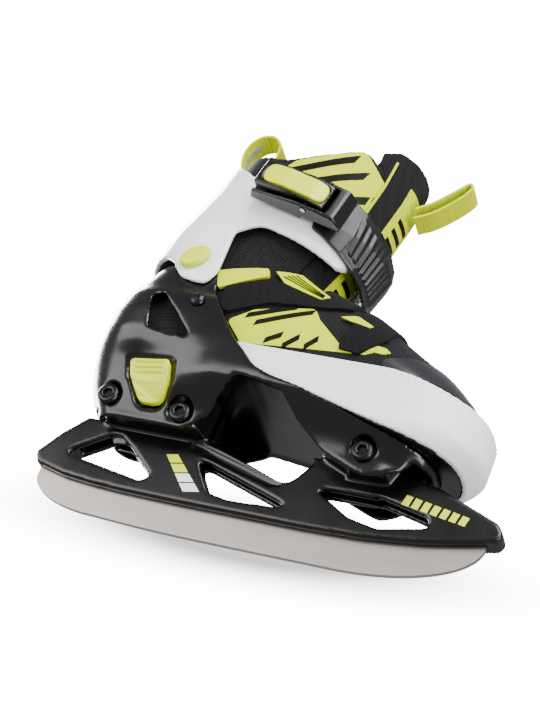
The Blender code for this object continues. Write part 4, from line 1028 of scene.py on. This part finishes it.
def front_at(y, z):
    """Where the padding's front is at a distance y from the middle."""
    front, half = (np.interp(z - PIVOT[1], LEG_TABLE[:, 0], LEG_TABLE[:, k]) for k in (2, 3))
    return front - SHIN_ROUND + SHIN_ROUND * (1 - min(abs(y) / half, 0.999) ** 2.35) ** (1 / 2.35)


for side, word in ((-1, "outer"), (1, "inner")):
    edge = [(front_at(27.2, z) + 0.2, side * 27.2, z) for z in np.linspace(202, 238, 30)]
    piping("collar_piping_" + word, edge)
    rim = [(front_at(25.6, z) + 0.1, side * 25.6, z) for z in np.linspace(204, 254, 34)]
    piping("tongue_piping_" + word, rim, 0.8)

# %% [markdown]
# ## Pull tabs and insole
#
# Each tab is webbing folded into a loop. A few points smoothed into a curve and given a thickness make one,
# and a narrow grey tape runs up the heel's.

# %% Pull tabs and insole
def curved(path, steps=8):
    """A smooth line through a few points."""
    spots = [np.array(p, float) for p in path]
    spots = [2 * spots[0] - spots[1], *spots, 2 * spots[-1] - spots[-2]]
    line = []
    for p0, p1, p2, p3 in zip(spots, spots[1:], spots[2:], spots[3:]):
        for t in np.arange(steps) / steps:
            line.append(0.5 * (2 * p1 + (p2 - p0) * t + (2 * p0 - 5 * p1 + 4 * p2 - p3) * t ** 2
                               + (3 * p1 - p0 - 3 * p2 + p3) * t ** 3))
    return np.array(line + [spots[-2]])


def webbing_loop(name, path, low_y, high_y, thickness, material, slot, *replaced):
    line = curved(path)
    run = np.gradient(line, axis=0)
    normal = np.column_stack([-run[:, 1], run[:, 0]]) / np.linalg.norm(run, axis=1)[:, None] * thickness / 2
    outline = [tuple(q) for q in line + normal] + [tuple(q) for q in (line - normal)[::-1]]
    return dress(plate(name, outline, low_y, high_y), material, "cuff", slot, *replaced)


HEEL_LOOP = [(-94, 241.5), (-99.5, 249.5), (-101, 261.5), (-96, 271.5), (-87.5, 274.4), (-81, 269),
             (-80, 257.5)]
TONGUE_LOOP = [(17, 236.5), (26.2, 242.5), (38.2, 254.5), (43.2, 259.5), (45.7, 256.5), (40.2, 247.5),
               (28.2, 235.5), (17.7, 229.5)]
webbing_loop("heel_loop", HEEL_LOOP, -8.0, 8.0, 1.4, LIME_FABRIC, "lime_webbing", "heel_pull_tab")
webbing_loop("heel_loop_tape", HEEL_LOOP[:4], -2.2, 2.2, 1.8, GREY_TAPE, "lime_webbing")
webbing_loop("tongue_loop", TONGUE_LOOP, -8.0, 8.0, 1.4, LIME_FABRIC, "lime_webbing", "tongue_pull_tab")
insole = softened("footbed", "insole", 1.3, 4)
dress(insole, GREY_TAPE, "chassis", "grey_foam", "footbed")

# %% [markdown]
# ## Ladder strap and buckle
#
# The toothed strap crosses the shin and the buckle pulls it tight. Its ridges are raised bars across
# the front of the strap, made by moving points outward in an even wave.

# %% Strap
strap = softened("ladder_strap", "toothed_strap", 0.5, 6)
mesh = strap.data
spots = np.empty(len(mesh.vertices) * 3)
mesh.vertices.foreach_get("co", spots)
spots = spots.reshape(-1, 3) / MM
LEG_MIDDLE_X, RIDGE_PITCH, RIDGE_HEIGHT = -45.0, 5.0, 1.1    # mm, degrees around the leg, mm
RIDGES_FROM, RIDGES_TO, RIDGE_HALF = -38.0, 16.0, 13.0       # degrees, degrees, mm
STRAP_AT, STRAP_FALL = (-10.0, -44.0, 199.0), (0.42, 0.10)    # a point on its middle line, and its slope
axis = spots[:, :2] - (LEG_MIDDLE_X, 0.0)
reach = np.linalg.norm(axis, axis=1)
angle = np.degrees(np.arctan2(axis[:, 1], axis[:, 0]))
wave = 0.5 + 0.5 * np.sin(np.radians(angle * 360.0 / RIDGE_PITCH))
here = np.clip((angle - RIDGES_FROM) / 3.0, 0, 1) * np.clip((RIDGES_TO - angle) / 3.0, 0, 1)
drop = (STRAP_AT[2] - STRAP_FALL[0] * (spots[:, 0] - STRAP_AT[0])
        - STRAP_FALL[1] * (spots[:, 1] - STRAP_AT[1]))
middle = np.clip((RIDGE_HALF - np.abs(spots[:, 2] - drop)) / 2.0, 0, 1)
normals = np.empty(len(mesh.vertices) * 3)
mesh.vertices.foreach_get("normal", normals)
normals = normals.reshape(-1, 3)
facing = np.sum(normals[:, :2] * axis, axis=1) / reach > 0.5
spots += normals * (RIDGE_HEIGHT * wave * here * middle * facing)[:, None]
mesh.vertices.foreach_set("co", (spots * MM).ravel())
dress(strap, STRAP_PLASTIC, "cuff", "black_nylon", "ladder_strap")

# %% [markdown]
# ## Buckle
#
# A frame, a lever and its bright inlay, softened well so that their corners look moulded.

# %% Buckle
base = softened("buckle_base", "buckle_frame", 0.5, 12)
dress(base, BLACK_PLASTIC, "cuff", "black_nylon", "buckle_base")
lever = softened("buckle_lever", "lever_arm", 0.5, 10)
dress(lever, BLACK_PLASTIC, "lever", "black_nylon", "buckle_lever")
inlay = softened("lever_inlay", "lever_badge", 0.4, 10)
dress(inlay, LIME_PLASTIC, "lever", "lime_plastic", "lever_inlay")

# %% [markdown]
# ## Camera, light and floor
#
# The skate is seen low from its toe side. The floor is pale and tilted to lie under the blade. It glows as
# bright as the backdrop, with a painted contact shadow under the blade. The light is broad and soft, with a
# stronger strip behind for the highlights on the black plastic.

# %% Camera
camera_data = bpy.data.cameras.new("camera")
camera = bpy.data.objects.new("camera", camera_data)
bpy.context.scene.collection.objects.link(camera)
camera_data.lens = 115.74
camera_data.clip_start = 0.01
RIGHT = Vector((0.915629, 0.221016, 0.335820))
DOWN = Vector((0.160390, 0.565143, -0.809252))
FORWARD = RIGHT.cross(DOWN).normalized()
POSITION = Vector((0.452063, -1.052172, -0.516011))
columns = [RIGHT, -DOWN, -FORWARD, POSITION]
camera.matrix_world = Matrix([[c[k] for c in columns] for k in range(3)] + [[0, 0, 0, 1]])
bpy.context.scene.camera = camera

# %% Lights
def panel_light(name, place, target, size, power):
    data = bpy.data.lights.new(name, "AREA")
    data.shape = "RECTANGLE"
    data.size, data.size_y = size
    data.energy = power
    lamp = bpy.data.objects.new(name, data)
    bpy.context.scene.collection.objects.link(lamp)
    lamp.location = place
    lamp.rotation_euler = (Vector(target) - Vector(place)).to_track_quat("-Z", "Y").to_euler()


MIDDLE = (0.0, 0.0, 0.12)
panel_light("key", (0.5, -1.1, 0.9), MIDDLE, (1.0, 1.0), 34.0)
panel_light("fill", (-0.9, -1.0, 0.1), MIDDLE, (1.2, 0.8), 16.0)
panel_light("rim", (-0.9, 0.5, 0.5), MIDDLE, (0.3, 1.2), 40.0)
panel_light("front", (1.1, -0.5, -0.1), MIDDLE, (0.7, 0.7), 14.0)

SOFT_LIGHT, BACKDROP = 0.45, 16.0
world = bpy.data.worlds.new("studio")
world.use_nodes = True
bpy.context.scene.world = world
nodes, links = world.node_tree.nodes, world.node_tree.links
soft = nodes["Background"]
soft.inputs["Color"].default_value = (1, 1, 1, 1)
soft.inputs["Strength"].default_value = SOFT_LIGHT
bright = nodes.new("ShaderNodeBackground")
bright.inputs["Color"].default_value = (1, 1, 1, 1)
bright.inputs["Strength"].default_value = BACKDROP
path = nodes.new("ShaderNodeLightPath")
pick = nodes.new("ShaderNodeMixShader")
links.new(path.outputs["Is Camera Ray"], pick.inputs["Fac"])
links.new(soft.outputs["Background"], pick.inputs[1])
links.new(bright.outputs["Background"], pick.inputs[2])
links.new(pick.outputs["Shader"], nodes["World Output"].inputs["Surface"])

# %% Floor
FLOOR_TILT = math.radians(56.6)
FAR = 3000.0
floor = from_points("floor", [(-FAR, -FAR, 0), (FAR, -FAR, 0), (FAR, FAR, 0), (-FAR, FAR, 0)], [(0, 1, 2, 3)])
bpy.context.scene.collection.objects.link(floor)
floor.rotation_euler = (FLOOR_TILT, 0.0, 0.0)
floor.location = (0.0, 0.0013, -0.0009)
# The floor glows as bright as the backdrop, and a painted contact shadow dims it in a soft ellipse under the
# blade.
floor_with_painted_shadow = bpy.data.materials.new("pale_floor_with_painted_shadow")
floor_with_painted_shadow.use_nodes = True
nodes, links = floor_with_painted_shadow.node_tree.nodes, floor_with_painted_shadow.node_tree.links
nodes.remove(nodes["Principled BSDF"])
place = nodes.new("ShaderNodeTexCoord")
shadow_ellipse = nodes.new("ShaderNodeMapping")
shadow_ellipse.inputs["Location"].default_value = (0.06, -0.25, 0.0)
shadow_ellipse.inputs["Scale"].default_value = (6.2, 19.0, 1.0)
links.new(place.outputs["Object"], shadow_ellipse.inputs["Vector"])
far = nodes.new("ShaderNodeVectorMath")
far.operation = "LENGTH"
links.new(shadow_ellipse.outputs["Vector"], far.inputs[0])
# Painted shadow: the glow's strength is 1.1 in the middle of the ellipse and rises to the backdrop's strength
# outside it.
painted_contact_shadow = nodes.new("ShaderNodeMapRange")
painted_contact_shadow.interpolation_type = "SMOOTHSTEP"
painted_contact_shadow.inputs["From Min"].default_value = 0.35
painted_contact_shadow.inputs["From Max"].default_value = 1.25
painted_contact_shadow.inputs["To Min"].default_value = 1.1
painted_contact_shadow.inputs["To Max"].default_value = BACKDROP
links.new(far.outputs["Value"], painted_contact_shadow.inputs["Value"])
glow = nodes.new("ShaderNodeEmission")
links.new(painted_contact_shadow.outputs["Result"], glow.inputs["Strength"])
clear = nodes.new("ShaderNodeBsdfTransparent")
facing = nodes.new("ShaderNodeNewGeometry")
choose = nodes.new("ShaderNodeMixShader")
links.new(facing.outputs["Backfacing"], choose.inputs["Fac"])
links.new(glow.outputs["Emission"], choose.inputs[1])
links.new(clear.outputs["BSDF"], choose.inputs[2])
links.new(choose.outputs["Shader"], nodes["Material Output"].inputs["Surface"])
floor.data.materials.append(floor_with_painted_shadow)
floor.visible_diffuse = False
floor.visible_glossy = False
floor.visible_shadow = False
